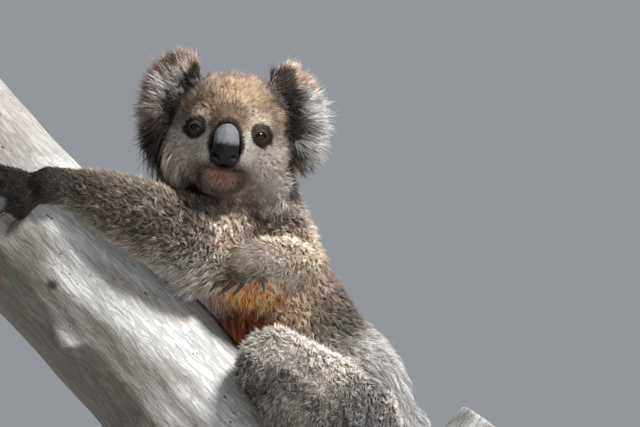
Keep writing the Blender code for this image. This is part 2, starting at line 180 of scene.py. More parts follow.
def copyOf(names):
    bm = bmesh.new()
    for name in names:
        bm.from_mesh(nodes[name].data)
    bmesh.ops.remove_doubles(bm, verts=bm.verts[:], dist=1e-5)
    return bm


def opened(mesh):
    bm = bmesh.new()
    bm.from_mesh(mesh)
    return bm


def faceOut(bm):
    bmesh.ops.recalc_face_normals(bm, faces=bm.faces[:])


def meshFrom(bm, name):
    mesh = bpy.data.meshes.new(name)
    bm.to_mesh(mesh)
    bm.free()
    return mesh


def placed(mesh, name):
    thing = bpy.data.objects.new(name, mesh)
    bpy.context.scene.collection.objects.link(thing)
    return thing


def settled(thing):  # the mesh with its modifiers applied
    graph = bpy.context.evaluated_depsgraph_get()
    made = bpy.data.meshes.new_from_object(thing.evaluated_get(graph), depsgraph=graph)
    bpy.data.objects.remove(thing)
    return made


def remeshed(mesh, cell):
    thing = placed(mesh, "blank")
    change = thing.modifiers.new("cells", "REMESH")
    change.mode = "VOXEL"
    change.voxel_size = cell
    return settled(thing)


def treeOf(points):
    tree = KDTree(len(points))
    for i, place in enumerate(points):
        tree.insert(place, i)
    tree.balance()
    return tree


def keepLargest(bm):
    left, best = set(bm.verts), []
    while left:
        group, stack = [], [left.pop()]
        while stack:
            vert = stack.pop()
            group.append(vert)
            for edge in vert.link_edges:
                other = edge.other_vert(vert)
                if other in left:
                    left.remove(other)
                    stack.append(other)
        if len(group) > len(best):
            best = group
    kept = set(best)
    bmesh.ops.delete(bm, geom=[v for v in bm.verts if v not in kept], context="VERTS")


def addPiece(mesh, name, finish, slot, *stoodFor):
    piece = placed(mesh, name)
    for each in finish if isinstance(finish, list) else [finish]:
        mesh.materials.append(each)
    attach(piece, "root")
    if stoodFor:
        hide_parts(*stoodFor)
    return piece


def storeColour(mesh, name, colour):
    layer = mesh.color_attributes.new(name=name, type="FLOAT_COLOR", domain="POINT")
    layer.data.foreach_set("color", np.c_[colour, np.ones(len(colour))].astype(np.float32).ravel())


def storeVector(mesh, name, rows):
    layer = mesh.attributes.new(name=name, type="FLOAT_VECTOR", domain="POINT")
    layer.data.foreach_set("vector", rows.astype(np.float32).ravel())


# material tools

def newFinish(name, **fixed):
    made = bpy.data.materials.new(name)
    made.use_nodes = True
    tree = made.node_tree
    shader = tree.nodes["Principled BSDF"]
    for socket, value in fixed.items():
        shader.inputs[socket.replace("_", " ")].default_value = value
    return made, tree, shader


def put(tree, kind, values=None, links=None, **settings):
    made = tree.nodes.new(kind)
    for key, value in settings.items():
        setattr(made, key, value)
    for key, value in (values or {}).items():
        made.inputs[key].default_value = value
    for key, source in (links or {}).items():
        tree.links.new(source, made.inputs[key])
    return made


def readColour(tree, name):
    return put(tree, "ShaderNodeAttribute", attribute_name=name).outputs["Color"]


def readVector(tree, name):
    return put(tree, "ShaderNodeAttribute", attribute_name=name).outputs["Vector"]


def objectPlace(tree):
    return put(tree, "ShaderNodeTexCoord").outputs["Object"]


def colourBy(tree, shader, source):
    tree.links.new(source, shader.inputs["Base Color"])


def noise(tree, where, scale, detail=4.0, rough=0.55, twist=0.0):
    values = {"Scale": scale, "Detail": detail, "Roughness": rough, "Distortion": twist}
    return put(tree, "ShaderNodeTexNoise", values, {"Vector": where}).outputs["Fac"]


def stretched(tree, where, scale, shift=(0.0, 0.0, 0.0)):
    values = {"Scale": scale, "Location": shift}
    return put(tree, "ShaderNodeMapping", values, {"Vector": where}).outputs["Vector"]


def ramp(tree, source, *stops):  # stops are (place, colour) with a grey number or three
    made = put(tree, "ShaderNodeValToRGB", links={"Fac": source})
    line = made.color_ramp.elements
    while len(line) < len(stops):
        line.new(0.5)
    for spot, (place, colour) in zip(line, stops):
        spot.position = place
        spot.color = (*((colour,) * 3 if np.isscalar(colour) else colour), 1.0)
    return made.outputs["Color"]


def blendColours(tree, share, a, b, way="MIX"):
    made = put(tree, "ShaderNodeMix", data_type="RGBA", blend_type=way)
    for place, value in ((0, share), (6, a), (7, b)):
        if isinstance(value, bpy.types.NodeSocket):
            tree.links.new(value, made.inputs[place])
        else:
            made.inputs[place].default_value = value if place == 0 else (*value, 1.0)
    return made.outputs[2]


def tinted(tree, a, b):
    return blendColours(tree, 1.0, a, b, "MULTIPLY")


def bumped(tree, shader, height, distance, strength=1.0, under=None):
    links = {"Height": height}
    if under is not None:
        links["Normal"] = under
    made = put(tree, "ShaderNodeBump", {"Distance": distance, "Strength": strength}, links)
    tree.links.new(made.outputs["Normal"], shader.inputs["Normal"])
    return made.outputs["Normal"]


# the head's own axes: x to its left, y to its back, z up, from between the eyes

headLayout = {
    "eyesFromCentre": (0.0, -0.0505, -0.0065),
    "noseTip": (0.0, -0.098, -0.018),
    "bridge": (0.0, -0.083, -0.010),
    "gaze": 0.34,  # how far each eye looks outwards
}

eyeMiddle = {side: middleOf(f"eye_{side}") for side in sides}
low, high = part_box("eye_right")
eyeRadius = (high[2] - low[2]) / 2.0
headLeft = unit(eyeMiddle["left"] - eyeMiddle["right"])
headBack = unit(np.array((0.0, 1.0, 0.0)) - headLeft * headLeft[1])
headUp = np.cross(headLeft, headBack)
headTurn = np.stack((headLeft, headBack, headUp))
headCentre = (eyeMiddle["left"] + eyeMiddle["right"]) / 2.0
headCentre = headCentre - np.array(headLayout["eyesFromCentre"]) @ headTurn


def inHead(points):
    return (points - headCentre) @ headTurn.T


def fromHead(place):
    return headCentre + np.asarray(place) @ headTurn


def faceGaps(points):  # how far each point is from the nose's tip and from the nearer eye
    fromNose = np.linalg.norm(inHead(points) - np.array(headLayout["noseTip"]), axis=1)
    return fromNose, np.min([np.linalg.norm(points - eyeMiddle[s], axis=1) for s in sides], axis=0)


def gazeAxes(side):  # outwards, up and forwards for one eye
    outward = headLeft if side == "left" else -headLeft
    forward = unit(-headBack + outward * headLayout["gaze"])
    across = unit(outward - forward * (outward @ forward))
    return across, unit(headUp - forward * (headUp @ forward)), forward


# the ears' own axes: out from the head, up, and forwards out of the dish

def earAxes(side):
    points = pointsOf(nodes[f"ear_{side}"].data)
    centre = points.mean(axis=0)
    _, _, ways = np.linalg.svd(points - centre, full_matrices=False)
    facing = ways[2] * (-1.0 if ways[2][1] > 0 else 1.0)
    up = unit(headUp - facing * (headUp @ facing))
    out = np.cross(up, facing)
    if out @ (centre - headCentre) < 0:
        out = -out
    half = np.abs((points - centre) @ np.stack((out, up, facing)).T).max(axis=0)
    return centre, np.stack((out, up, facing)), half


ears = {side: earAxes(side) for side in sides}


# the skin under the coat: one surface over every node of flesh

parts = ("ear", "upper_arm", "forearm", "hand", "thigh", "shin", "foot")
headNodes = ("head", "lower_jaw")
trunkNodes = ("neck", "chest", "belly", "rump")
fleshNodes = [*headNodes, *trunkNodes, *(f"{part}_{side}" for side in sides for part in parts)]
column = {name: i for i, name in enumerate(fleshNodes)}

coatColumns = ("length", "depth", "width", "hang", "grizzle", "colour")
coatOf = {  # depth is how deep the skin lies, hang how far the hair hangs, grizzle how uneven its tone is
    "head": (0.0100, 0.0045, 0.0008, 0.05, 0.25, (140, 126, 114)),
    "lower_jaw": (0.0060, 0.0028, 0.0007, 0.05, 0.15, (196, 172, 162)),
    "ear": (0.0150, 0.0030, 0.0009, 0.12, 0.45, (150, 140, 132)),
    "neck": (0.0170, 0.0085, 0.0010, 0.25, 0.50, (112, 102, 95)),
    "chest": (0.0130, 0.0075, 0.0009, 0.25, 0.42, (196, 180, 166)),
    "belly": (0.0115, 0.0065, 0.0009, 0.15, 0.50, (150, 136, 124)),
    "rump": (0.0145, 0.0080, 0.0009, 0.12, 0.38, (182, 181, 180)),
    "upper_arm": (0.0115, 0.0065, 0.0009, 0.15, 0.70, (108, 98, 91)),
    "forearm": (0.0105, 0.0058, 0.0009, 0.10, 0.56, (102, 93, 87)),
    "hand": (0.0050, 0.0014, 0.0008, 0.0, 0.30, (26, 26, 27)),
    "thigh": (0.0105, 0.0060, 0.0009, 0.08, 0.50, (152, 146, 141)),
    "shin": (0.0105, 0.0056, 0.0009, 0.10, 0.50, (118, 112, 108)),
    "foot": (0.0055, 0.0014, 0.0008, 0.0, 0.30, (56, 53, 52)),
}
partOf = {name: name.rsplit("_", 1)[0] if name.endswith(sides) else name for name in fleshNodes}


def perNode(key):
    found = [coatOf[partOf[name]][coatColumns.index(key)] for name in fleshNodes]
    return np.array([paint(*chip) for chip in found] if key == "colour" else found)


skinMake = {"cell": 0.0031, "easing": 10, "smooth": 0.6, "swell": -0.42, "blend": 0.009, "reach": 0.05,
            "lidBall": 0.0024, "faceDepth": 0.0018, "cheekDepth": 0.0052, "tone": 0.55}


def nearnessTo(points, names, reach):  # distance from each point to each node, up to reach
    table = np.full((len(points), len(names)), reach)
    for place, name in enumerate(names):
        low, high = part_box(name)
        close = np.all((points > np.array(low) - reach) & (points < np.array(high) + reach), axis=1)
        bm = copyOf([name])
        tree = BVHTree.FromBMesh(bm)
        bm.free()
        for i in np.flatnonzero(close):
            found = tree.find_nearest(Vector(points[i]), reach)
            if found[0] is not None:
                table[i, place] = found[3]
    return table


bm = copyOf(fleshNodes)
for side in sides:  # the lids' ball over each eye
    ball = Matrix.Translation(Vector(eyeMiddle[side]))
    bmesh.ops.create_icosphere(bm, subdivisions=4, radius=eyeRadius + skinMake["lidBall"], matrix=ball)
skinMesh = remeshed(meshFrom(bm, "skin"), skinMake["cell"])
bm = opened(skinMesh)
keepLargest(bm)
bpy.data.meshes.remove(skinMesh)
skinMesh = meshFrom(bm, "skin")
outer = pointsOf(skinMesh)
skinEdges = edgesOf(skinMesh)
for _ in range(skinMake["easing"]):
    outer = eased(outer, skinEdges, 1, skinMake["smooth"])
    outer = eased(outer, skinEdges, 1, skinMake["swell"])
movePoints(skinMesh, outer)
print("skin blank:", len(outer), "points")

share = np.exp(-nearnessTo(outer, fleshNodes, skinMake["reach"]) / skinMake["blend"])
share = eased(share, skinEdges, 4)
share /= share.sum(axis=1, keepdims=True)


def shareOf(*names):
    return share[:, [column[name] for name in names]].sum(axis=1)


def depthOnFace(fromNose):
    return skinMake["faceDepth"] + skinMake["cheekDepth"] * rise(fromNose, 0.03, 0.13)


# the ears' blades are thinner and smaller than their fringes
earBlade = {"across": 0.76, "along": 0.88, "thickness": 0.62, "root": 0.25}
inner = outer.copy()
for side in sides:
    centre, turn, half = ears[side]
    local = (outer - centre) @ turn.T
    scaled = local.copy()
    scaled[:, 0] = -half[0] + (local[:, 0] + half[0]) * earBlade["across"]
    base = half[1] * earBlade["root"]
    scaled[:, 1] = -base + (local[:, 1] + base) * earBlade["along"]
    scaled[:, 2] = local[:, 2] * earBlade["thickness"]
    inner = towards(inner, centre + scaled @ turn, rise(shareOf(f"ear_{side}"), 0.25, 0.85))
movePoints(skinMesh, inner)

# the coat's depth, least round the eyes, nose and mouth
fromNose, eyeGap = faceGaps(outer)
coatDepth = share @ perNode("depth")
coatDepth = coatDepth + (depthOnFace(fromNose) - coatDepth) * shareOf(*headNodes)
coatDepth = coatDepth * rise(eyeGap, eyeRadius * 1.15, eyeRadius * 2.6)
perchGap = nearnessTo(outer, ["perch"], 0.03)[:, 0]
coatDepth = coatDepth * (1.0 - 0.75 * shareOf(*trunkNodes) * (1.0 - rise(perchGap, 0.004, 0.022)))
inner = inner - normalsOf(skinMesh) * coatDepth[:, None]
inner = eased(inner, skinEdges, 3)
movePoints(skinMesh, inner)


def refine(bm, centre, radius):
    centre = Vector(centre)
    close = [e for e in bm.edges if all((v.co - centre).length < radius for v in e.verts)]
    bmesh.ops.subdivide_edges(bm, edges=close, cuts=1, use_grid_fill=True)
    near = [v for v in bm.verts if (v.co - centre).length < radius]
    bmesh.ops.smooth_vert(bm, verts=near, factor=0.5, use_axis_x=True, use_axis_y=True, use_axis_z=True)


eyelid = {"halfWidth": 0.70, "above": 0.51, "below": 0.43, "pointed": 1.65, "thickness": 0.0015, "tilt": 0.10,
          "softness": 0.0012, "turnIn": 1.05, "lap": 0.0002, "socket": 1.06, "socketBack": -0.75}


def lidEdge(angle):  # the opening's radius that way, in eye radii
    height = eyelid["above"] if sin(angle) > 0 else eyelid["below"]
    power = eyelid["pointed"]
    total = abs(cos(angle) / eyelid["halfWidth"]) ** power + abs(sin(angle) / height) ** power
    return total ** (-1.0 / power)


def openLids(bm, side):
    centre = Vector(eyeMiddle[side])
    across, up, forward = (Vector(way) for way in gazeAxes(side))
    turned = Matrix.Rotation(eyelid["tilt"] if side == "left" else -eyelid["tilt"], 3, forward)
    across, up = turned @ across, turned @ up
    ballRadius = eyeRadius + eyelid["thickness"]

    def local(point):
        gap = point - centre
        return gap.dot(across), gap.dot(up), gap.dot(forward)

    def world(u, v, w):
        return centre + across * u + up * v + forward * w

    softness = eyelid["softness"]
    for vert in bm.verts:  # the lids lie on their ball
        gap = vert.co - centre
        apart = gap.length
        if apart < ballRadius * 1.6 and gap.dot(forward) > -eyeRadius * 0.3:
            swell = softness * max(0.0, 1.0 - abs(apart - ballRadius) / softness) * 0.25
            vert.co = centre + gap * ((max(apart, ballRadius) + swell) / max(apart, 1e-6))

    def inside(point):
        u, v, w = local(point)
        if w < 0 or (point - centre).length > ballRadius * 1.25:
            return False
        return sqrt(u * u + v * v) < lidEdge(np.arctan2(v, u)) * eyeRadius

    gone = [f for f in bm.faces if inside(f.calc_center_median())]
    bmesh.ops.delete(bm, geom=gone, context="FACES")
    rim = [e for e in bm.edges if e.is_boundary and (e.verts[0].co - centre).length < ballRadius * 1.5]

    def layRim(laid):  # laid turns the opening's radius there into the rim's radius and depth
        for vert in {v for e in rim for v in e.verts}:
            u, v, _ = local(vert.co)
            angle = float(np.arctan2(v, u))
            reach, w = laid(lidEdge(angle) * eyeRadius)
            vert.co = world(cos(angle) * reach, sin(angle) * reach, w)

    def onBall(reach):
        return reach, sqrt(ballRadius**2 - reach**2)

    def turnedIn(reach):
        reach = reach * eyelid["turnIn"]
        return reach, sqrt(max((eyeRadius + eyelid["lap"]) ** 2 - reach**2, 0.0))

    def behind(share):
        distance = eyeRadius * eyelid["socket"]
        return lambda _: (sqrt(distance**2 - (distance * share) ** 2), distance * share)

    layRim(onBall)
    # the lid's edge turns in to the eye, then the socket closes behind it
    for step in (turnedIn, behind(0.0), behind(eyelid["socketBack"])):
        made = bmesh.ops.extrude_edge_only(bm, edges=rim)["geom"]
        rim = [item for item in made if isinstance(item, bmesh.types.BMEdge)]
        layRim(step)
    bmesh.ops.holes_fill(bm, edges=rim, sides=0)


bm = opened(skinMesh)
refine(bm, fromHead((0.0, -0.075, -0.030)), 0.052)
for side in sides:
    for radius in (0.019, 0.016):
        refine(bm, eyeMiddle[side], radius)
    openLids(bm, side)
faceOut(bm)
bmesh.ops.triangulate(bm, faces=bm.faces[:])
bpy.data.meshes.remove(skinMesh)
skinMesh = meshFrom(bm, "skin")
print("skin:", len(skinMesh.polygons), "faces")

# everything read from the blank is carried over to the finished skin
blankTree = treeOf(inner)
skinPoints = pointsOf(skinMesh)
match = np.array([[hit[1] for hit in blankTree.find_n(Vector(p), 3)] for p in skinPoints])
gaps = np.array([np.linalg.norm(inner[match[:, k]] - skinPoints, axis=1) for k in range(3)]).T
near = 1.0 / (gaps + 1e-5)
near /= near.sum(axis=1, keepdims=True)
share = np.einsum("ij,ijk->ik", near, share[match])
outer = np.einsum("ij,ijk->ik", near, outer[match])
perchGapHere = np.einsum("ij,ij->i", near, perchGap[match])
headShare = shareOf(*headNodes)
earShare = {side: shareOf(f"ear_{side}") for side in sides}
earMask = {side: rise(earShare[side], 0.35, 0.75) for side in sides}

# folds: the mouth's line and the lip's cleft
mouth = {"width": 0.024, "height": -0.0475, "curl": 0.002, "depth": 0.0030, "line": 0.0013,
         "cleftWidth": 0.0010, "cleftDepth": 0.0012}
onHead = inHead(skinPoints)
mouthHeight = mouth["height"] + mouth["curl"] * (onHead[:, 0] / mouth["width"]) ** 2
alongMouth = 1.0 - rise(np.abs(onHead[:, 0]), mouth["width"] * 0.8, mouth["width"])
mouthLine = np.exp(-(((onHead[:, 2] - mouthHeight) / mouth["line"]) ** 2)) * alongMouth
mouthLine *= rise(-onHead[:, 1], 0.045, 0.060) * headShare
cleft = np.exp(-((onHead[:, 0] / mouth["cleftWidth"]) ** 2)) * rise(-onHead[:, 1], 0.07, 0.08)
cleft *= rise(onHead[:, 2], mouth["height"] - 0.001, mouth["height"] + 0.001) * (onHead[:, 2] < -0.038)
folds = mouthLine * mouth["depth"] + cleft * mouth["cleftDepth"]
skinPoints = skinPoints - normalsOf(skinMesh) * folds[:, None]
movePoints(skinMesh, skinPoints)
skinNormals = normalsOf(skinMesh)
skinEdges = edgesOf(skinMesh)
broadNormals = unit(eased(skinNormals, skinEdges, 12))
onHead = inHead(skinPoints)


# the lie of the coat

def pawTips(kind, side):
    return np.mean([middleOf(name) for name in nodes if name.startswith(f"claw_{kind}_{side}")], axis=0)


lieOf = {"head": -headBack, "lower_jaw": -headUp, "neck": middleOf("chest") - middleOf("head"),
         "chest": middleOf("belly") - middleOf("neck"), "belly": middleOf("rump") - middleOf("chest"),
         "rump": middleOf("rump") - middleOf("belly")}
for side in sides:
    lieOf[f"ear_{side}"] = ears[side][1][0]
    lieOf[f"upper_arm_{side}"] = middleOf(f"forearm_{side}") - middleOf("chest")
    lieOf[f"forearm_{side}"] = middleOf(f"hand_{side}") - middleOf(f"upper_arm_{side}")
    lieOf[f"hand_{side}"] = pawTips("hand", side) - middleOf(f"forearm_{side}")
    lieOf[f"thigh_{side}"] = middleOf(f"shin_{side}") - middleOf("rump")
    lieOf[f"shin_{side}"] = middleOf(f"foot_{side}") - middleOf(f"thigh_{side}")
    lieOf[f"foot_{side}"] = pawTips("foot", side) - middleOf(f"shin_{side}")
lie = share @ np.array([unit(lieOf[name]) for name in fleshNodes])
fromBridge = unit(onHead - np.array(headLayout["bridge"])) @ headTurn
lie = towards(lie, fromBridge + down * 0.12, rise(headShare, 0.2, 0.7))
earPlace = {}
for side in sides:
    centre, turn, half = ears[side]
    local = (outer - centre) @ turn.T / half
    earPlace[side] = local
    fan = unit(np.c_[local[:, 0] + 1.15, local[:, 1] * 1.5 + 0.15, np.zeros(len(local))]) @ turn
    lie = towards(lie, fan, rise(earShare[side], 0.3, 0.7))
hang = share @ perNode("hang")
# fine wisps hang under the right cheek and ear
wisps = headShare * spot(onHead, (-0.072, 0.005, -0.045), (0.040, 0.060, 0.034))
wisps = wisps + 0.8 * earMask["right"] * (1.0 - rise(earPlace["right"][:, 1], -0.75, -0.25))
hang = hang + wisps * 0.5
lie = unit(lie) + down * hang[:, None]
lie += np.c_[ripple(outer, 0.09, 3), ripple(outer, 0.09, 4), ripple(outer, 0.09, 5)] * 0.16
lie = lie - broadNormals * np.sum(lie * broadNormals, axis=1)[:, None]
lie = unit(lie)

# hair length, width and how deep the skin lies under the tips
hairLength = share @ perNode("length")
hairWidth = share @ perNode("width")
hairDepth = share @ perNode("depth")
fromNose, eyeGap = faceGaps(skinPoints)
faceLength = 0.0040 + 0.0110 * rise(fromNose, 0.035, 0.150)
lowOnHead = rise(-onHead[:, 2], 0.035, 0.065)
faceLength += 0.006 * lowOnHead * rise(np.abs(onHead[:, 0]), 0.025, 0.05)  # longer on the cheeks
faceLength = faceLength * (0.45 + 0.55 * rise(eyeGap, eyeRadius, eyeRadius * 2.4))
faceWidth = 0.0006 + 0.0003 * rise(fromNose, 0.04, 0.13)
headOnly = rise(headShare, 0.3, 0.8)
hairLength = hairLength + (faceLength - hairLength) * headOnly
hairWidth = hairWidth + (faceWidth - hairWidth) * headOnly
hairDepth = hairDepth + (depthOnFace(fromNose) - hairDepth) * headOnly
fringe = np.zeros(len(skinPoints))
for side in sides:
    local = earPlace[side]
    outwards = rise(local[:, 0] * 0.9 - local[:, 1] * 0.35, -0.15, 0.55)
    fringe += earMask[side] * outwards * rise(local[:, 2], -0.35, 0.25)
hairLength = hairLength * (1.0 + 0.50 * fringe)
hairDepth = hairDepth + 0.0040 * fringe
hairLength = hairLength + 0.006 * wisps

# the coat's colours, each mark laid over those before it
markings = share @ perNode("colour")


def mark(colour, where):
    markings[:] = towards(markings, paint(*colour), np.clip(where, 0.0, 1.0))


def markHead(colour, middle, size, strength=1.0):
    mark(colour, headOnly * spot(onHead, middle, size) * strength)


def alongBox(node, start, end):  # 0 to 1 between two fractions of the node's box, from its right to its left
    return rise(outer[:, 0], inBox(node, start, 0, 0)[0], inBox(node, end, 0, 0)[0])


back = rise(skinNormals[:, 1] + ripple(outer, 0.06, 11) * 0.12, -0.05, 0.55)
forward = 1.0 - back
trunk = shareOf(*trunkNodes)
mark((148, 140, 133), back * trunk * 0.85)

# head
mark((140, 119, 99), headOnly * rise(onHead[:, 2], 0.002, 0.035) * rise(-onHead[:, 1], -0.01, 0.04))
mark((80, 68, 60), headOnly * rise(onHead[:, 2], 0.046, 0.062) * 0.8)
markHead((92, 74, 60), (0.0, -0.072, 0.014), (0.024, 0.030, 0.018), 0.85)
for way in (-1.0, 1.0):
    markHead((204, 197, 190), (0.023 * way, -0.076, -0.022), (0.012, 0.030, 0.025), 0.9)
    markHead((184, 172, 164), (0.046 * way, -0.045, -0.036), (0.028, 0.040, 0.036))
    markHead((168, 154, 140), (0.034 * way, -0.065, 0.012), (0.016, 0.030, 0.007), 0.6)
mark((138, 128, 119), headOnly * rise(onHead[:, 1], 0.0, 0.03) * 0.8)
# painted shade under the chin, over the lower jaw
markHead((52, 43, 39), (-0.003, -0.060, -0.058), (0.046, 0.050, 0.028), 0.9)
markHead((128, 112, 102), (-0.003, -0.080, -0.056), (0.024, 0.040, 0.015))
markHead((138, 98, 88), (-0.002, -0.080, -0.056), (0.011, 0.040, 0.011), 0.85)
for side in sides:  # dark round each eye
    local = (skinPoints - eyeMiddle[side]) @ np.stack(gazeAxes(side)).T / eyeRadius
    patch = np.sqrt((local[:, 0] / 1.70) ** 2 + ((local[:, 1] - 0.05) / 1.42) ** 2)
    patch += ripple(outer, 0.008, 15) * 0.08
    mark((24, 17, 15), headOnly * (1.0 - rise(patch, 0.86, 1.10)) * (local[:, 2] > -0.6))
    mark((11, 8, 7), headOnly * (1.0 - rise(patch, 0.48, 0.64)) * (local[:, 2] > -0.6))
# painted shade in the gap where the fur meets the nose
nosePatch = np.linalg.norm((onHead - (0.0, -0.083, -0.0195)) / (0.0182, 0.02, 0.0275), axis=1)
mark((34, 27, 25), headOnly * (1.0 - rise(nosePatch, 1.0, 1.15)))
mark((40, 27, 25), np.clip(mouthLine * 1.5, 0, 1))

# ears
earTint = {"right": {"front": (178, 178, 177), "edge": 0.14},
           "left": {"front": (156, 156, 155), "edge": 0.30}}
uneven = ripple(outer, 0.020, 17) * 0.14
for side in sides:
    local, mine, tint = earPlace[side], earMask[side], earTint[side]
    front = rise(local[:, 2], -0.30, 0.15)
    mark((122, 108, 100), mine * (1.0 - front))
    mark(tint["front"], mine * front)
    top = local[:, 1] + local[:, 0] * 0.25 + uneven
    mark((136, 118, 106), mine * rise(top, 0.40, 0.70) * 0.9)
    # painted shade: the inner part of each ear's dish, by the head, painted near-black
    rising = 0.90 * local[:, 1] if side == "right" else 0.75 * np.maximum(local[:, 1], 0.0)
    inward = rise(local[:, 0] + rising + uneven, tint["edge"], tint["edge"] + 0.26)
    mark((30, 26, 24), mine * front * (1.0 - inward))
    mark((76, 68, 62), mine * (1.0 - rise(local[:, 1] + uneven, -0.80, -0.50)))
local, mine = earPlace["right"], earMask["right"]
outerRim = rise(local[:, 0] + uneven, 0.22, 0.50) * rise(local[:, 1], -0.45, -0.10)
mark((112, 92, 82), mine * outerRim * 0.8)
mark((42, 36, 36), mine * (1.0 - rise(local[:, 1] + uneven, -0.62, -0.30)) * 0.9)
# painted shade where the ears meet the head
besideEar = 1.0 - rise(earMask["right"] + earMask["left"], 0.2, 0.6)
mark((38, 33, 30), rise(shareOf("ear_left", "ear_right"), 0.12, 0.3) * besideEar * 0.7)

# where long locks hang: the left cheek's ruff, then under the right arm, over the limb and on the rump
ruff = spot(outer, headCentre + np.array((0.056, -0.010, -0.072)), (0.030, 0.055, 0.024))
underArm = spot(outer, (-0.062, -0.055, 0.455), (0.032, 0.050, 0.034))
overLimb = shareOf("chest", "belly") * forward * (1.0 - rise(perchGapHere, 0.010, 0.030))
rumpEnd = shareOf("rump") * alongBox("rump", 0.62, 0.95)
longLocks = np.clip(underArm + overLimb * 0.8 + rumpEnd * 0.6 + wisps, 0.0, 1.0)

# trunk
mark((230, 212, 196), shareOf("chest") * forward * 0.9)
# painted shade under the chin, over the front of the neck
mark((62, 54, 50), shareOf("neck") * forward * 0.9)
throat = spot(outer, (-0.026, -0.080, 0.508), (0.034, 0.09, 0.036))
mark((216, 190, 168), shareOf("chest", "neck", "upper_arm_right") * forward * throat)
sandy = shareOf("belly", "chest") * forward
orangeAndPaintedLight = sandy * spot(outer, inBox("belly", 0.32, 0.10, 0.70), (0.056, 0.070, 0.034))
mark((184, 156, 128), sandy * spot(outer, inBox("belly", 0.55, 0.10, 0.55), (0.062, 0.070, 0.070)))
mark((255, 148, 76), orangeAndPaintedLight)
mark((146, 74, 44), sandy * spot(outer, inBox("belly", 0.22, 0.10, 0.42), (0.054, 0.060, 0.024)))
flank = spot(outer, inBox("rump", 0.35, 0.3, 0.9), (0.04, 0.08, 0.06))
mark((122, 119, 116), shareOf("rump", "belly") * flank * 0.7)
mark((188, 188, 189), shareOf("rump") * alongBox("rump", 0.55, 0.85))

# limbs
for side in sides:
    arm = shareOf(f"upper_arm_{side}", f"forearm_{side}")
    mark((186, 175, 163), arm * rise(-skinNormals[:, 2], 0.15, 0.85) * 0.75)
    # painted light on the arms' upper sides
    mark((158, 143, 128), arm * rise(skinNormals[:, 2], 0.5, 0.95) * 0.5)
    leg = shareOf(f"thigh_{side}", f"shin_{side}")
    # painted light on the legs' upper sides
    mark((220, 208, 196), leg * rise(skinNormals[:, 2], -0.05, 0.65) * 0.85)
    # painted shade on the legs' undersides
    mark((72, 69, 67), leg * rise(-skinNormals[:, 2], 0.0, 0.7) * 0.8)
# painted shadow: the left shoulder and neck darkened where the head shades them
shoulderShade = spot(outer, headCentre + np.array((0.050, 0.0, -0.098)), (0.034, 0.060, 0.036))
mark((72, 65, 60), shareOf("upper_arm_left", "neck", "chest") * shoulderShade * 0.8)
mark((178, 173, 168), ruff)
# darker grey on the right flank: partly the fur's own grey, partly painted shade
mark((80, 76, 73), trunk * forward * spot(outer, (0.099, -0.040, 0.427), (0.048, 0.120, 0.048)) * 0.8)
hip = spot(outer, inBox("thigh_left", 0.78, 0.45, 0.45), (0.040, 0.110, 0.060))
mark((106, 108, 111), shareOf("thigh_left", "thigh_right", "rump", "belly") * hip * 0.85)
mark((232, 208, 184), shareOf("forearm_left", "hand_left") * forward)
mark((184, 158, 134), shareOf("forearm_left") * forward * alongBox("forearm_left", 0.45, 0.9))
clawMiddles = np.array([middleOf(name) for name in nodes if name.startswith("claw_hand_left")])
clawGap = np.linalg.norm(outer[:, None] - clawMiddles[None], axis=2).min(axis=1)
mark((48, 42, 40), shareOf("hand_left") * (1.0 - rise(clawGap, 0.021, 0.034)))
armpit = spot(outer, inBox("chest", 0.1, 0.0, 0.2), (0.045, 0.08, 0.05))
mark((176, 168, 158), shareOf("upper_arm_right") * armpit)

grizzle = share @ perNode("grizzle")
mottle = np.exp(ripple(outer, 0.030, 21) * 0.10 + ripple(outer, 0.010, 22, 12) * 0.28 * grizzle)
# the orange patch is also brightened beyond its own colour: painted light where the left forearm shades it
markings = markings * (mottle * (1.0 + 0.9 * orangeAndPaintedLight))[:, None]

skinFinish, tree, shader = newFinish("skinUnderCoat", Roughness=0.85, Specular_IOR_Level=0.08)
where = objectPlace(tree)
speckle = ramp(tree, noise(tree, where, 620.0, 3.0), (0.25, 0.55), (0.75, 1.15))
colourBy(tree, shader, tinted(tree, readColour(tree, "markings"), speckle))
bumped(tree, shader, noise(tree, where, 900.0, 3.0), 0.0006)
bareSkin = headOnly * (eyeGap < eyeRadius * 1.5)
shade = skinMake["tone"] + (1.0 - skinMake["tone"]) * bareSkin
storeColour(skinMesh, "markings", markings * shade[:, None])
skinMesh.shade_smooth()
addPiece(skinMesh, "skin", skinFinish, "coat_grey", *fleshNodes)
print("skin finished")


# the coat: closed three-sided tufts, joined into one mesh for each part of the body

hairMake = {"patch": 0.003, "uvGap": 0.004, "offEyes": 1.22, "change": 0.16, "lockChange": 0.10,
            "widthChange": 0.18, "lift": 1.10, "leastLift": 0.10, "mostLift": 0.75,
            "lockTone": 0.80, "hairTone": 0.70, "shortest": 0.002, "longest": 0.06, "clear": 0.0016, "sunk": 0.0007,
            "bend": 0.46, "leastRoom": 0.42, "stopShort": 0.96, "middle": 0.45, "ridgeLight": 1.10, "flank": 0.94,
            "rootTone": 0.26, "middleTone": 0.36, "middleGrizzle": 0.32, "tipTone": 1.42}
triangles = readAll(skinMesh.polygons, "vertices", 3, np.int32)
mainPart = share.argmax(axis=1)
facePart = mainPart[triangles[:, 0]]
faceOnHead = onHead[triangles].mean(axis=1)
skinTree = BVHTree.FromPolygons([tuple(p) for p in skinPoints], triangles.tolist())
bm = copyOf(["perch", "stand_base", "nose"] + [name for name in nodes if name.startswith(("claw", "eye"))])
hardTree = BVHTree.FromBMesh(bm)
bm.free()

coatFinish, tree, shader = newFinish("coatHair", Roughness=0.70, Specular_IOR_Level=0.14)
speckle = ramp(tree, noise(tree, objectPlace(tree), 260.0, 2.0), (0.3, 0.80), (0.7, 1.0))
colourBy(tree, shader, tinted(tree, readColour(tree, "coatColour"), speckle))


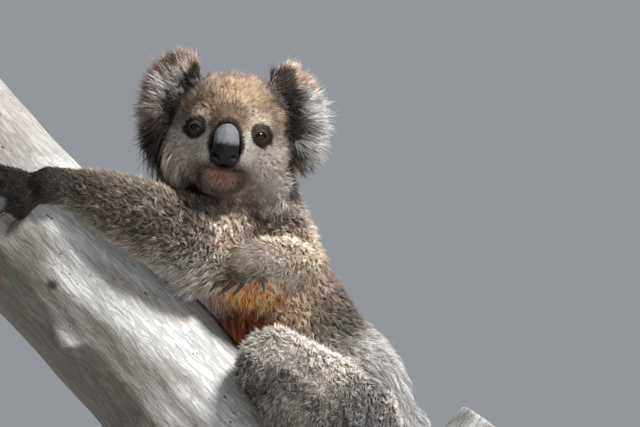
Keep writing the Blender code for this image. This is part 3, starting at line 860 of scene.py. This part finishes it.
def unwrapped(name, faces):  # an unwrap of that stretch of skin, one place for each face corner
    used, corners = np.unique(triangles[faces], return_inverse=True)
    mesh = bpy.data.meshes.new(name)
    mesh.from_pydata(skinPoints[used].tolist(), [], corners.reshape(-1, 3).tolist())
    scrap = placed(mesh, name)
    bpy.context.view_layer.objects.active = scrap
    scrap.select_set(True)
    bpy.ops.object.mode_set(mode="EDIT")
    bpy.ops.mesh.select_all(action="SELECT")
    bpy.ops.uv.smart_project(angle_limit=radians(70.0), island_margin=hairMake["uvGap"])
    bpy.ops.object.mode_set(mode="OBJECT")
    found = readAll(mesh.uv_layers.active.data, "uv", 2)
    bpy.data.objects.remove(scrap)
    bpy.data.meshes.remove(mesh)
    return found.reshape(-1, 3, 2)


# a tuft with no rings is a plain spike; each ring is a place along the tuft and its width there
tuftRings = {1: ((0.40, 1.0),), 2: ((0.28, 1.0), (0.66, 0.72))}


def tuftMesh(name, root, control, tip, across, off, width, rings, colours, places):
    count = len(root)
    stations = [(0.0, 0.0), *tuftRings[rings], (1.0, 0.0)] if rings else [(0.0, 1.0), (1.0, 0.0)]
    patch, middle = hairMake["patch"], hairMake["middle"]
    rows, hues, maps = [], [], []
    for along, wide in stations:
        spine = root * (1 - along) ** 2 + control * (2 * along * (1 - along)) + tip * along**2
        hue = towards(colours[0], colours[1], np.full(count, min(1.0, along / middle)))
        hue = towards(hue, colours[2], np.full(count, rise(along, middle, 1.0)))
        if wide == 0.0:
            rows.append(spine)
            hues.append(hue)
            maps.append(places + np.array((0.0, along * patch)))
            continue
        half = (width * wide / 2.0)[:, None]
        for sideways, lift in ((1.0, -0.25), (0.0, 0.75), (-1.0, -0.25)):
            rows.append(spine + across * half * sideways + off * half * lift)
            # painted light and shade on each tuft: its ridge painted lighter, its flanks darker
            hues.append(hue * hairMake["ridgeLight" if lift > 0 else "flank"])
            maps.append(places + np.array((sideways * patch * 0.5 * wide, along * patch)))
    each = len(rows)
    pattern = [(0, 2, 1), (0, 3, 2), (0, 1, 3)] if rings else [(0, 2, 1)]
    for ring in range(rings - 1):
        a = 1 + ring * 3
        for k in range(3):
            here, there = a + k, a + (k + 1) % 3
            pattern += [(here, there, there + 3), (here, there + 3, here + 3)]
    last, end = (1 + (rings - 1) * 3 if rings else 0), each - 1
    pattern += [(last, last + 1, end), (last + 1, last + 2, end), (last + 2, last, end)]
    pattern = np.array(pattern)
    faces = (pattern[None] + (np.arange(count) * each)[:, None, None]).reshape(-1, 3)
    points = np.stack(rows, axis=1).reshape(-1, 3)
    mesh = bpy.data.meshes.new(name)
    mesh.vertices.add(len(points))
    mesh.vertices.foreach_set("co", points.astype(np.float32).ravel())
    mesh.loops.add(faces.size)
    mesh.loops.foreach_set("vertex_index", faces.astype(np.int32).ravel())
    mesh.polygons.add(len(faces))
    mesh.polygons.foreach_set("loop_start", np.arange(0, faces.size, 3, dtype=np.int32))
    mesh.update(calc_edges=True)
    storeColour(mesh, "coatColour", np.clip(np.stack(hues, axis=1).reshape(-1, 3), 0.0, 1.0))
    layer = mesh.uv_layers.new(name="OFBake")
    corner = np.stack(maps, axis=1).reshape(-1, 2)[faces.ravel()]
    layer.data.foreach_set("uv", corner.astype(np.float32).ravel())
    mesh.shade_smooth()
    return mesh


def freeLength(starts, ways, lengths):  # how far each hair can go before it meets something
    room = lengths.copy()
    for i in range(len(starts)):
        start, way = Vector(starts[i]), Vector(ways[i])
        for tree in (hardTree, skinTree):
            gap = tree.ray_cast(start, way, room[i])[3]
            if gap is not None:
                room[i] = gap
    return room


plainCoat = {"rings": 0, "stretch": 1.0, "clump": 6, "pull": 0.7, "spread": 0.30, "widen": 1.4, "wild": 0.22,
             "curl": 0.0, "droop": 0.35, "keep": None}


def growCoat(name, slot, stoodFor, chosen, count, seed, changes):
    make = {**plainCoat, **changes}
    wild = make["wild"]
    chance = np.random.default_rng(seed)
    faces = np.flatnonzero(chosen)
    a, b, c = (skinPoints[triangles[faces, k]] for k in range(3))
    area = np.linalg.norm(np.cross(b - a, c - a), axis=1) / 2.0
    meanLength = hairLength[triangles[faces]].mean(axis=1)
    weight = area / meanLength
    if make["keep"] is not None:
        weight = weight * make["keep"][triangles[faces]].mean(axis=1)
    weight = weight * (eyeGap[triangles[faces]].mean(axis=1) > eyeRadius * hairMake["offEyes"])
    picked = chance.choice(len(faces), size=count, p=weight / weight.sum())
    u, v = chance.random(count), chance.random(count)
    over = u + v > 1.0
    u[over], v[over] = 1.0 - u[over], 1.0 - v[over]
    bary = np.c_[1.0 - u - v, u, v]
    verts = triangles[faces[picked]]

    def read(field):
        return np.einsum("ij,ij...->i...", bary, field[verts])

    root, normal = read(skinPoints), unit(read(skinNormals))
    flow, length, width, depth = unit(read(lie)), read(hairLength), read(hairWidth), read(hairDepth)
    colour, rough, hanging = read(markings), read(grizzle), read(hang)
    places = np.einsum("ij,ijk->ik", bary, unwrapped(name, faces)[picked])

    # locks: each tuft leans towards the nearest lock's tip
    locks = treeOf(root[:count // make["clump"]])
    lock = np.array([locks.find(Vector(p))[1] for p in root])
    lockTwist = chance.normal(size=count)[lock] * make["spread"]
    lockTone = chance.normal(size=count)[lock]
    across = unit(np.cross(flow, normal))
    angle = lockTwist + chance.normal(size=count) * wild
    flow = unit(swung(flow, across, angle))
    length = length * make["stretch"] * np.exp(chance.normal(size=count) * hairMake["change"])
    length = length * (1.0 + hairMake["lockChange"] * lockTone)
    length = np.clip(length, hairMake["shortest"], hairMake["longest"])
    rising = np.clip(depth * hairMake["lift"] / length, hairMake["leastLift"], hairMake["mostLift"])
    tipLift = np.arcsin(rising) + chance.normal(size=count) * wild * 0.4
    tipLift = tipLift + ripple(root, 0.013, seed + 50, 12) * wild * 0.55
    startLift = tipLift * 1.5 + 0.30
    way = unit(swung(flow, normal, tipLift) + down * (hanging * make["droop"])[:, None])
    tip = root + way * length[:, None]
    gap = tip[lock] - root[lock]
    meeting = root[lock] + gap * (length / np.maximum(length[lock], 1e-6))[:, None]
    closeness = np.clip(1.0 - np.linalg.norm(root - root[lock], axis=1) / (length * 0.8), 0, 1)
    tip = towards(tip, meeting, make["pull"] * closeness)
    way = unit(tip - root)
    below = np.sum(way * normal, axis=1) < 0.08  # no tip goes under the skin
    way[below] = unit(way[below] + normal[below] * 0.16)
    room = freeLength(root + normal * hairMake["clear"], way, length * 1.02)
    kept = room > length * hairMake["leastRoom"]
    length = np.minimum(length, room * hairMake["stopShort"])
    start = unit(swung(flow, normal, startLift))
    control = root + start * (length * hairMake["bend"])[:, None]
    tip = root + way * length[:, None]
    root = root - normal * hairMake["sunk"]
    across = unit(np.cross(way, normal))
    off = unit(np.cross(across, way))
    control = control + across * (chance.normal(size=count)[lock] * make["curl"] * length)[:, None]

    uneven = lockTone * hairMake["lockTone"] + chance.normal(size=count) * hairMake["hairTone"]
    tone = np.exp(uneven * rough)
    rootColour = colour * hairMake["rootTone"]
    middleColour = colour * (hairMake["middleTone"] + hairMake["middleGrizzle"] * tone)[:, None]
    tipColour = colour * (hairMake["tipTone"] * tone)[:, None]
    width = width * make["widen"] * np.exp(chance.normal(size=count) * hairMake["widthChange"])
    columns = [root, control, tip, across, off, width, rootColour, middleColour, tipColour, places]
    root, control, tip, across, off, width, *colours, places = (each[kept] for each in columns)
    mesh = tuftMesh(name, root, control, tip, across, off, width, make["rings"], colours, places)
    addPiece(mesh, name, coatFinish, slot, *stoodFor)
    print(name, len(root), "tufts", len(mesh.polygons), "faces")


def onNodes(*names):
    return np.isin(facePart, [column[name] for name in names])


few = 1.0
bothSides = {part: [f"{part}_{side}" for side in sides] for part in parts}
onBoth = {part: onNodes(*bothSides[part]) for part in parts}
headFaces = onNodes(*headNodes)
frontOfHead = headFaces & (faceOnHead[:, 1] < -0.018)
coats = (  # name, slot, nodes stood for, faces, tufts, seed, changes
    ("coatFace", "coat_grey", headNodes, frontOfHead, 45000, 11, {"pull": 0.4}),
    ("coatCrown", "coat_grey", ["head"], headFaces & ~frontOfHead, 20000, 12, {"clump": 9, "pull": 0.5}),
    ("coatEars", "coat_grey", bothSides["ear"], onBoth["ear"], 26000, 13, {"clump": 9, "pull": 0.5}),
    ("coatEarFringe", "coat_grey", bothSides["ear"], onBoth["ear"], 8500, 14,
     {"rings": 2, "stretch": 1.15, "keep": fringe + 0.03, "pull": 0.4, "widen": 0.70}),
    ("coatNeckChest", "coat_pale", ["neck", "chest"], onNodes("neck", "chest"), 33000, 15,
     {"spread": 0.50, "wild": 0.35}),
    ("coatBelly", "coat_rusty", ["belly"], onNodes("belly"), 27000, 16,
     {"rings": 1, "clump": 7, "spread": 0.55, "wild": 0.30, "curl": 0.25, "widen": 0.85}),
    ("coatRump", "coat_grey", ["rump"], onNodes("rump"), 27000, 17,
     {"pull": 0.6, "spread": 0.4, "wild": 0.30}),
    ("coatUpperArms", "coat_grey", bothSides["upper_arm"], onBoth["upper_arm"], 30000, 18,
     {"pull": 0.75, "spread": 0.60, "widen": 1.15, "wild": 0.40}),
    ("coatForearms", "coat_grey", bothSides["forearm"], onBoth["forearm"], 32000, 19,
     {"pull": 0.75, "spread": 0.55, "widen": 1.15, "wild": 0.40}),
    ("coatThighs", "coat_grey", bothSides["thigh"], onBoth["thigh"], 41000, 20,
     {"spread": 0.60, "widen": 1.15, "wild": 0.40}),
    ("coatShins", "coat_grey", bothSides["shin"], onBoth["shin"], 18000, 21, {"spread": 0.5, "wild": 0.35}),
    ("coatPaws", "skin_dark", bothSides["hand"] + bothSides["foot"], onBoth["hand"] | onBoth["foot"],
     20000, 22, {"clump": 9, "pull": 0.3}),
    ("coatRuff", "coat_pale", ["head", "neck", "upper_arm_left"], ruff[triangles].mean(axis=1) > 0.05,
     3200, 24,
     {"rings": 2, "stretch": 1.5, "keep": ruff, "pull": 0.5, "spread": 0.35, "widen": 0.75}),
    ("coatLocks", "coat_pale", ["head", "neck", "chest", "belly", "upper_arm_right", "rump"],
     longLocks[triangles].mean(axis=1) > 0.08, 8000, 23,
     {"rings": 2, "stretch": 2.1, "keep": longLocks, "clump": 7, "pull": 0.6, "wild": 0.2, "curl": 0.10,
      "widen": 0.8, "droop": 4.0}),
)
for name, slot, stoodFor, chosen, tufts, seed, changes in coats:
    growCoat(name, slot, stoodFor, chosen, int(tufts * few), seed, changes)


# the eyes: a brown iris with an upright slit, wet and clear in front

eyeball = {"iris": 0.66, "pupilWidth": 0.22, "pupilHeight": 0.50, "bulge": 0.05}
eyeFinish, tree, shader = newFinish("wetEye", Roughness=0.16, Specular_IOR_Level=0.16, Coat_Weight=0.22,
                                    Coat_Roughness=0.03)
local = readVector(tree, "eyePlace")
split = put(tree, "ShaderNodeSeparateXYZ", links={"Vector": local})
flat = put(tree, "ShaderNodeCombineXYZ", links={"X": split.outputs["X"], "Y": split.outputs["Y"]}).outputs[0]
radius = put(tree, "ShaderNodeVectorMath", links={0: flat}, operation="LENGTH").outputs["Value"]
spokes = noise(tree, stretched(tree, local, (1.0, 1.0, 0.1)), 9.0, 5.0, 0.7)
irisColour = ramp(tree, spokes, (0.30, paint(9, 5, 4)), (0.55, paint(22, 11, 7)), (0.75, paint(38, 19, 11)))
ringed = ramp(tree, radius, (0.30, 0.85), (0.48, 0.50), (0.58, 0.08), (0.64, 0.02))
iris = tinted(tree, irisColour, ringed)
pupilSize = (1.0 / eyeball["pupilWidth"], 1.0 / eyeball["pupilHeight"], 0.0)
slit = put(tree, "ShaderNodeVectorMath", {1: pupilSize}, {0: flat}, operation="MULTIPLY").outputs["Vector"]
slitRadius = put(tree, "ShaderNodeVectorMath", links={0: slit}, operation="LENGTH").outputs["Value"]
pupil = ramp(tree, slitRadius, (0.85, 0.0), (1.0, 1.0))
colourBy(tree, shader, blendColours(tree, pupil, (0.002, 0.002, 0.002), iris))
for side in sides:
    bm = bmesh.new()
    bmesh.ops.create_uvsphere(bm, u_segments=48, v_segments=32, radius=1.0)
    mesh = meshFrom(bm, f"eye_{side}_ball")
    local = pointsOf(mesh)
    off = np.linalg.norm(local[:, :2], axis=1)
    grow = 1.0 + eyeball["bulge"] * (1.0 - rise(off, 0.0, eyeball["iris"] * 1.15)) * (local[:, 2] > 0)
    storeVector(mesh, "eyePlace", local)
    movePoints(mesh, eyeMiddle[side] + (local * grow[:, None] * eyeRadius) @ np.stack(gazeAxes(side)))
    bm = opened(mesh)
    faceOut(bm)
    bm.to_mesh(mesh)
    bm.free()
    mesh.shade_smooth()
    addPiece(mesh, f"eyeball_{side}", eyeFinish, "eye_gloss", f"eye_{side}")
print("eyes")


# the nose: a bare leathery pad with comma-shaped nostrils

nosePad = {"cell": 0.0011, "easing": 8, "narrowing": 0.12, "slitWidth": 0.0021, "slitDepth": 0.0050,
           "rim": 0.0011}
nostrilPath = ((0.0050, -0.0985, -0.0405), (0.0075, -0.0975, -0.0370), (0.0108, -0.0945, -0.0345),
               (0.0132, -0.0900, -0.0335))
mesh = remeshed(meshFrom(copyOf(["nose"]), "nosePad"), nosePad["cell"])
nosePoints = eased(pointsOf(mesh), edgesOf(mesh), nosePad["easing"])
local = inHead(nosePoints)
local[:, 0] *= 1.0 - nosePad["narrowing"] * rise(local[:, 2], -0.012, 0.004)  # the dome narrows upwards
nosePoints = headCentre + local @ headTurn
movePoints(mesh, nosePoints)
noseNormals = normalsOf(mesh)
slitGap = np.full(len(local), 1.0)
for start, end in zip(nostrilPath, nostrilPath[1:]):
    for side in (-1.0, 1.0):
        a, b = (np.array(p) * (side, 1.0, 1.0) for p in (start, end))
        along = np.clip((local - a) @ (b - a) / ((b - a) @ (b - a)), 0.0, 1.0)
        flatGap = (local - a - along[:, None] * (b - a)) * (1.0, 0.35, 1.0)
        slitGap = np.minimum(slitGap, np.linalg.norm(flatGap, axis=1))
slit = np.exp(-((slitGap / nosePad["slitWidth"]) ** 2))
wing = np.exp(-(((slitGap - nosePad["slitWidth"] * 1.7) / nosePad["slitWidth"]) ** 2))
front = rise(-noseNormals[:, 1], -0.1, 0.3)
lift = (wing * nosePad["rim"] - slit * nosePad["slitDepth"]) * front
nosePoints = nosePoints + noseNormals * lift[:, None]
movePoints(mesh, nosePoints)
noseColour = np.tile(paint(10, 9, 10), (len(local), 1))
# painted sheen: the black leather's upper dome painted grey where light falls on it from above
paintedSheen = rise(local[:, 2] + ripple(local, 0.006, 51) * 0.0006, -0.0226, -0.0154)
noseColour = towards(noseColour, paint(94, 96, 101), paintedSheen)
noseColour = towards(noseColour, paint(10, 9, 9), np.clip(slit * 1.4, 0.0, 1.0) * front)
storeColour(mesh, "leather", noseColour)
noseFinish, tree, shader = newFinish("noseLeather", Roughness=0.42, Specular_IOR_Level=0.14)
where = objectPlace(tree)
pebbles = put(tree, "ShaderNodeTexVoronoi", {"Scale": 850.0}, {"Vector": where}).outputs["Distance"]
dust = ramp(tree, noise(tree, where, 300.0), (0.3, 0.75), (0.7, 1.1))
colourBy(tree, shader, tinted(tree, readColour(tree, "leather"), dust))
bumped(tree, shader, pebbles, 0.0004, 0.7)
mesh.shade_smooth()
addPiece(mesh, "nosePad", noseFinish, "skin_dark", "nose")
print("nose")


# claws: dark horn, smoothed, with fine lengthwise grain

hornFinish, tree, shader = newFinish("clawHorn", Roughness=0.30, Specular_IOR_Level=0.5)
grain = noise(tree, objectPlace(tree), 420.0, 4.0, 0.7, 0.6)
horn = ramp(tree, grain, (0.30, paint(24, 20, 18)), (0.55, paint(46, 39, 34)), (0.75, paint(84, 74, 64)))
colourBy(tree, shader, horn)
bumped(tree, shader, grain, 0.0002, 0.6)
for name in sorted(nodes):
    if name.startswith("claw_"):
        thing = placed(meshFrom(copyOf([name]), name + "_horn"), name + "_blank")
        smooth = thing.modifiers.new("smooth", "SUBSURF")
        smooth.levels = smooth.render_levels = 2
        mesh = settled(thing)
        mesh.shade_smooth()
        addPiece(mesh, name.replace("claw", "horn"), hornFinish, "claw_horn", name)
print("claws")


# the perch: pale gum bark, sawn flat at its three ends

perchMake = {"cell": 0.0035, "easing": 6, "trim": 0.0038, "lumps": 0.0016, "wrinkles": 0.0006}
perchStainsAndShade = (  # middle, half sizes, colour
    # painted shade: the limb's upper end painted a darker grey; the two after it are a rusty streak and a dark knot
    ((-0.330, 0.000, 0.610), (0.110, 0.200, 0.110), (146, 142, 138)),
    ((-0.298, -0.070, 0.455), (0.005, 0.060, 0.020), (112, 94, 78)),
    ((-0.236, -0.080, 0.443), (0.008, 0.060, 0.006), (44, 36, 32)),
)


def flatEnds(count):  # (middle, direction off the end) of the node's largest flat faces
    bm = copyOf(["perch"])
    bmesh.ops.dissolve_limit(bm, angle_limit=radians(0.5), verts=bm.verts[:], edges=bm.edges[:])
    found = sorted(bm.faces, key=lambda f: -f.calc_area())[:count]
    ends = [(f.calc_center_median().copy(), f.normal.copy()) for f in found]
    bm.free()
    return ends


sawnEnds = sorted(flatEnds(3), key=lambda end: end[0].x)  # the limb's top, its foot, the fork's top
limbTop, limbFoot, forkTop = (np.array(end[0]) for end in sawnEnds)


def grainOf(points):  # along, across and off the nearer branch
    rows = []
    for top in (limbTop, forkTop):
        along = unit(top - limbFoot)
        across = unit(np.cross(along, (0.0, 1.0, 0.0)))
        rows.append((points - limbFoot) @ np.stack((along, across, np.cross(along, across))).T)
    nearer = np.hypot(rows[0][:, 1], rows[0][:, 2]) < np.hypot(rows[1][:, 1], rows[1][:, 2])
    return np.where(nearer[:, None], rows[0], rows[1] + (3.0, 0.0, 0.0))


mesh = remeshed(meshFrom(copyOf(["perch"]), "perchBark"), perchMake["cell"])
barkPoints = eased(pointsOf(mesh), edgesOf(mesh), perchMake["easing"])
movePoints(mesh, barkPoints)
grain = grainOf(barkPoints)
coarse = ripple(grain * (0.5, 1.0, 1.0), 0.07, 41) * 0.5 - 0.5
fine = ripple(grain * (0.35, 1.0, 1.0), 0.016, 42, 14) * 0.5 - 0.5
lift = coarse * perchMake["lumps"] + fine * perchMake["wrinkles"]
barkPoints = barkPoints + normalsOf(mesh) * lift[:, None]
movePoints(mesh, barkPoints)
bm = opened(mesh)
for middle, off in sawnEnds:
    everything = bm.verts[:] + bm.edges[:] + bm.faces[:]
    cut = bmesh.ops.bisect_plane(bm, geom=everything, plane_co=middle - off * perchMake["trim"], plane_no=off,
                                 clear_outer=True)
    rim = [item for item in cut["geom_cut"] if isinstance(item, bmesh.types.BMEdge)]
    caps = [f for f in bmesh.ops.triangle_fill(bm, edges=rim, use_beauty=True)["geom"]
            if isinstance(f, bmesh.types.BMFace)]
    for face in caps:
        face.material_index = 1
faceOut(bm)
for face in bm.faces:
    face.smooth = face.material_index == 0
for edge in bm.edges:
    edge.smooth = len({face.material_index for face in edge.link_faces}) == 1
bpy.data.meshes.remove(mesh)
mesh = meshFrom(bm, "perchBark")
storeVector(mesh, "grain", grainOf(pointsOf(mesh)))

# the bark's tones: a darker, browner underside, partly brown bark and partly painted shade, then the patches listed
# above
barkPoints, barkNormals = pointsOf(mesh), normalsOf(mesh)
underSide = unit(np.cross(unit(limbTop - limbFoot), (0.0, 1.0, 0.0)))
underSide = underSide * np.sign(-underSide[2])
uneven = ripple(grainOf(barkPoints) * (0.35, 1.0, 1.0), 0.05, 44, 12) * 0.22
barkTone = np.tile(paint(186, 187, 188), (len(barkPoints), 1))
barkTone = towards(barkTone, paint(160, 150, 138), rise(uneven, 0.10, 0.40) * 0.45)
# painted shade on the underside, over the bark's browner tone there
below = rise(barkNormals @ underSide + uneven * 0.7, -0.45, 0.35)
barkTone = towards(barkTone, paint(84, 77, 69), below * 0.92)
for place, size, chip in perchStainsAndShade:
    inside = spot(barkPoints + barkNormals * uneven[:, None] * 0.01, place, size)
    barkTone = towards(barkTone, paint(*chip), inside)
storeColour(mesh, "barkTone", barkTone)

barkFinish, tree, shader = newFinish("gumBark", Roughness=0.68, Specular_IOR_Level=0.3)
where = readVector(tree, "grain")
cloud = noise(tree, stretched(tree, where, (0.5, 1.0, 1.0)), 12.0, 6.0, 0.65, 0.4)
colour = ramp(tree, cloud, (0.30, 0.70), (0.46, 0.92), (0.60, 1.0), (0.78, 0.82))
colour = tinted(tree, readColour(tree, "barkTone"), colour)
wavy = noise(tree, stretched(tree, where, (0.24, 1.0, 1.0), (2.0, 5.0, 3.0)), 125.0, 5.0, 0.62, 0.5)
wrinkles = ramp(tree, wavy, (0.40, 1.0), (0.475, 0.45), (0.50, 0.45), (0.57, 1.0))
colour = blendColours(tree, 0.50, colour, wrinkles, "MULTIPLY")
streaks = noise(tree, stretched(tree, where, (0.12, 1.0, 1.0)), 300.0, 4.0, 0.65)
colour = tinted(tree, colour, ramp(tree, streaks, (0.34, 0.78), (0.50, 1.0)))
specks = noise(tree, stretched(tree, where, (0.6, 1.0, 1.0), (1.0, 7.0, 3.0)), 150.0, 2.0)
colour = blendColours(tree, ramp(tree, specks, (0.69, 0.0), (0.73, 1.0)), colour, paint(66, 58, 50))
colourBy(tree, shader, colour)
under = bumped(tree, shader, streaks, 0.0012, 0.8)
under = bumped(tree, shader, wrinkles, 0.0014, 0.8, under)
lumps = noise(tree, stretched(tree, where, (0.35, 1.0, 1.0)), 60.0, 6.0, 0.65)
bumped(tree, shader, lumps, 0.0030, 0.6, under)

sawnFinish, tree, shader = newFinish("sawnWood", Roughness=0.8, Specular_IOR_Level=0.25)
where = readVector(tree, "grain")
flat = put(tree, "ShaderNodeVectorMath", {1: (0.0, 1.0, 1.0)}, {0: where}, operation="MULTIPLY")
rings = put(tree, "ShaderNodeTexWave", {"Scale": 20.0, "Distortion": 2.2, "Detail": 3.0, "Detail Scale": 6.0},
            {"Vector": flat.outputs["Vector"]}, wave_type="RINGS", rings_direction="X").outputs["Fac"]
saws = noise(tree, stretched(tree, where, (1.0, 0.1, 1.0)), 500.0, 2.0)
colour = ramp(tree, rings, (0.2, paint(146, 133, 116)), (0.8, paint(164, 152, 135)))
colourBy(tree, shader, tinted(tree, colour, ramp(tree, saws, (0.3, 0.85), (0.7, 1.0))))
bumped(tree, shader, saws, 0.0004, 0.7)
addPiece(mesh, "perchBark", [barkFinish, sawnFinish], "gum_bark", "perch")
print("perch", len(mesh.polygons), "faces")


# the display stand: a black board with two steel rods in collars

stand = {"corner": 0.035, "edge": 0.0030, "collarRadius": 0.021, "collarHeight": 0.007, "collarEdge": 0.0015}
low, high = (Vector(corner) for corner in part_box("stand_base"))
bm = bmesh.new()
block = Matrix.Translation((low + high) / 2) @ Matrix.Diagonal((*(high - low), 1.0))
bmesh.ops.create_cube(bm, size=1.0, matrix=block)
upright = [e for e in bm.edges if abs(e.verts[0].co.z - e.verts[1].co.z) > (high.z - low.z) / 2]
bmesh.ops.bevel(bm, geom=upright, offset=stand["corner"], segments=12, profile=0.5, affect="EDGES",
                material=-1)
level = [e for e in bm.edges if e.calc_face_angle(0.0) > radians(60.0)]
bmesh.ops.bevel(bm, geom=level, offset=stand["edge"], segments=4, profile=0.5, affect="EDGES", material=-1)
mesh = meshFrom(bm, "standBoard")
mesh.shade_smooth()
mesh.set_sharp_from_angle(angle=radians(40.0))
boardFinish, tree, shader = newFinish("blackBoard", Roughness=0.38, Specular_IOR_Level=0.4)
grain = noise(tree, stretched(tree, objectPlace(tree), (6.0, 60.0, 60.0)), 6.0, 5.0, 0.6)
colourBy(tree, shader, ramp(tree, grain, (0.3, paint(26, 25, 25)), (0.7, paint(40, 38, 37))))
bumped(tree, shader, grain, 0.0003, 0.5)
addPiece(mesh, "standBoard", boardFinish, "stand_black", "stand_base")

steelFinish, tree, shader = newFinish("standSteel", Roughness=0.32, Metallic=1.0)
brushed = noise(tree, stretched(tree, objectPlace(tree), (400.0, 400.0, 30.0)), 4.0, 3.0)
colourBy(tree, shader, ramp(tree, brushed, (0.3, paint(150, 150, 152)), (0.7, paint(184, 184, 186))))
bumped(tree, shader, brushed, 0.0001, 0.4)
for number in (1, 2):
    low, high = (Vector(corner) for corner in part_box(f"stand_rod_{number}"))
    rodRadius, collar = (high.x - low.x) / 2, stand["collarRadius"]
    centre = Vector(((low.x + high.x) / 2, (low.y + high.y) / 2, 0.0))
    edge, top = stand["collarEdge"], low.z + stand["collarHeight"]
    profile = ((0.0, low.z), (collar, low.z), (collar, top - edge), (collar - edge, top), (rodRadius, top),
               (rodRadius, high.z), (0.0, high.z))
    bm = bmesh.new()
    line = [bm.verts.new(centre + Vector((out, 0.0, tallness))) for out, tallness in profile]
    edges = [bm.edges.new(pair) for pair in zip(line, line[1:])]
    bmesh.ops.spin(bm, geom=line + edges, cent=centre, axis=(0.0, 0.0, 1.0), steps=48, angle=2.0 * pi,
                   use_merge=True)
    bmesh.ops.remove_doubles(bm, verts=bm.verts[:], dist=1e-6)
    faceOut(bm)
    mesh = meshFrom(bm, f"standRod{number}")
    mesh.shade_smooth()
    mesh.set_sharp_from_angle(angle=radians(35.0))
    addPiece(mesh, f"standRod{number}", steelFinish, "stand_steel", f"stand_rod_{number}")
print("stand")


# floor, light and camera

studio = {"floor": 2.6, "skyPower": 0.42, "skyColour": (0.69, 0.73, 0.78, 1.0)}
lamps = (  # name, place from what the camera looks at, size, power, colour
    ("keyLamp", (1.15, -1.65, 1.95), 0.6, 190.0, (1.0, 0.97, 0.93)),
    ("fillLamp", (0.5, -2.3, -0.1), 1.3, 9.0, (0.96, 0.98, 1.0)),
    ("rimLamp", (0.4, 1.9, 1.6), 1.2, 66.0, (1.0, 0.99, 0.97)),
)
bm = bmesh.new()
bmesh.ops.create_circle(bm, cap_ends=True, segments=96, radius=studio["floor"])
floor = placed(meshFrom(bm, "floor"), "floor")
floorFinish, tree, shader = newFinish("paleFloor", Roughness=0.9, Base_Color=(0.62, 0.62, 0.61, 1.0))
floor.data.materials.append(floorFinish)
floor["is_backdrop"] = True

sky = bpy.data.worlds.new("studio")
sky.use_nodes = True
backdrop = sky.node_tree.nodes["Background"]
backdrop.inputs["Color"].default_value = studio["skyColour"]
backdrop.inputs["Strength"].default_value = studio["skyPower"]
bpy.context.scene.world = sky
bpy.context.scene.view_settings.view_transform = "Standard"

view = {"distance": 4.0, "width": 0.7424, "sensor": 36.0, "aim": (0.1023, 0.068, -0.0978)}
aim = headCentre + np.array(view["aim"])
for name, place, size, power, colour in lamps:
    lamp = bpy.data.lights.new(name, "AREA")
    lamp.shape, lamp.size, lamp.energy, lamp.color = "DISK", size, power, colour
    thing = bpy.data.objects.new(name, lamp)
    thing.location = Vector(aim) + Vector(place)
    thing.rotation_euler = (-Vector(place)).to_track_quat("-Z", "Y").to_euler()
    bpy.context.scene.collection.objects.link(thing)

camera = bpy.data.objects.new("camera", bpy.data.cameras.new("camera"))
camera.data.sensor_width = view["sensor"]
camera.data.lens = view["sensor"] * view["distance"] / view["width"]
camera.location = (aim[0], aim[1] - view["distance"], aim[2])
camera.rotation_euler = (radians(90.0), 0.0, 0.0)
bpy.context.scene.collection.objects.link(camera)
bpy.context.scene.camera = camera

bpy.context.view_layer.update()
low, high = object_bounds()
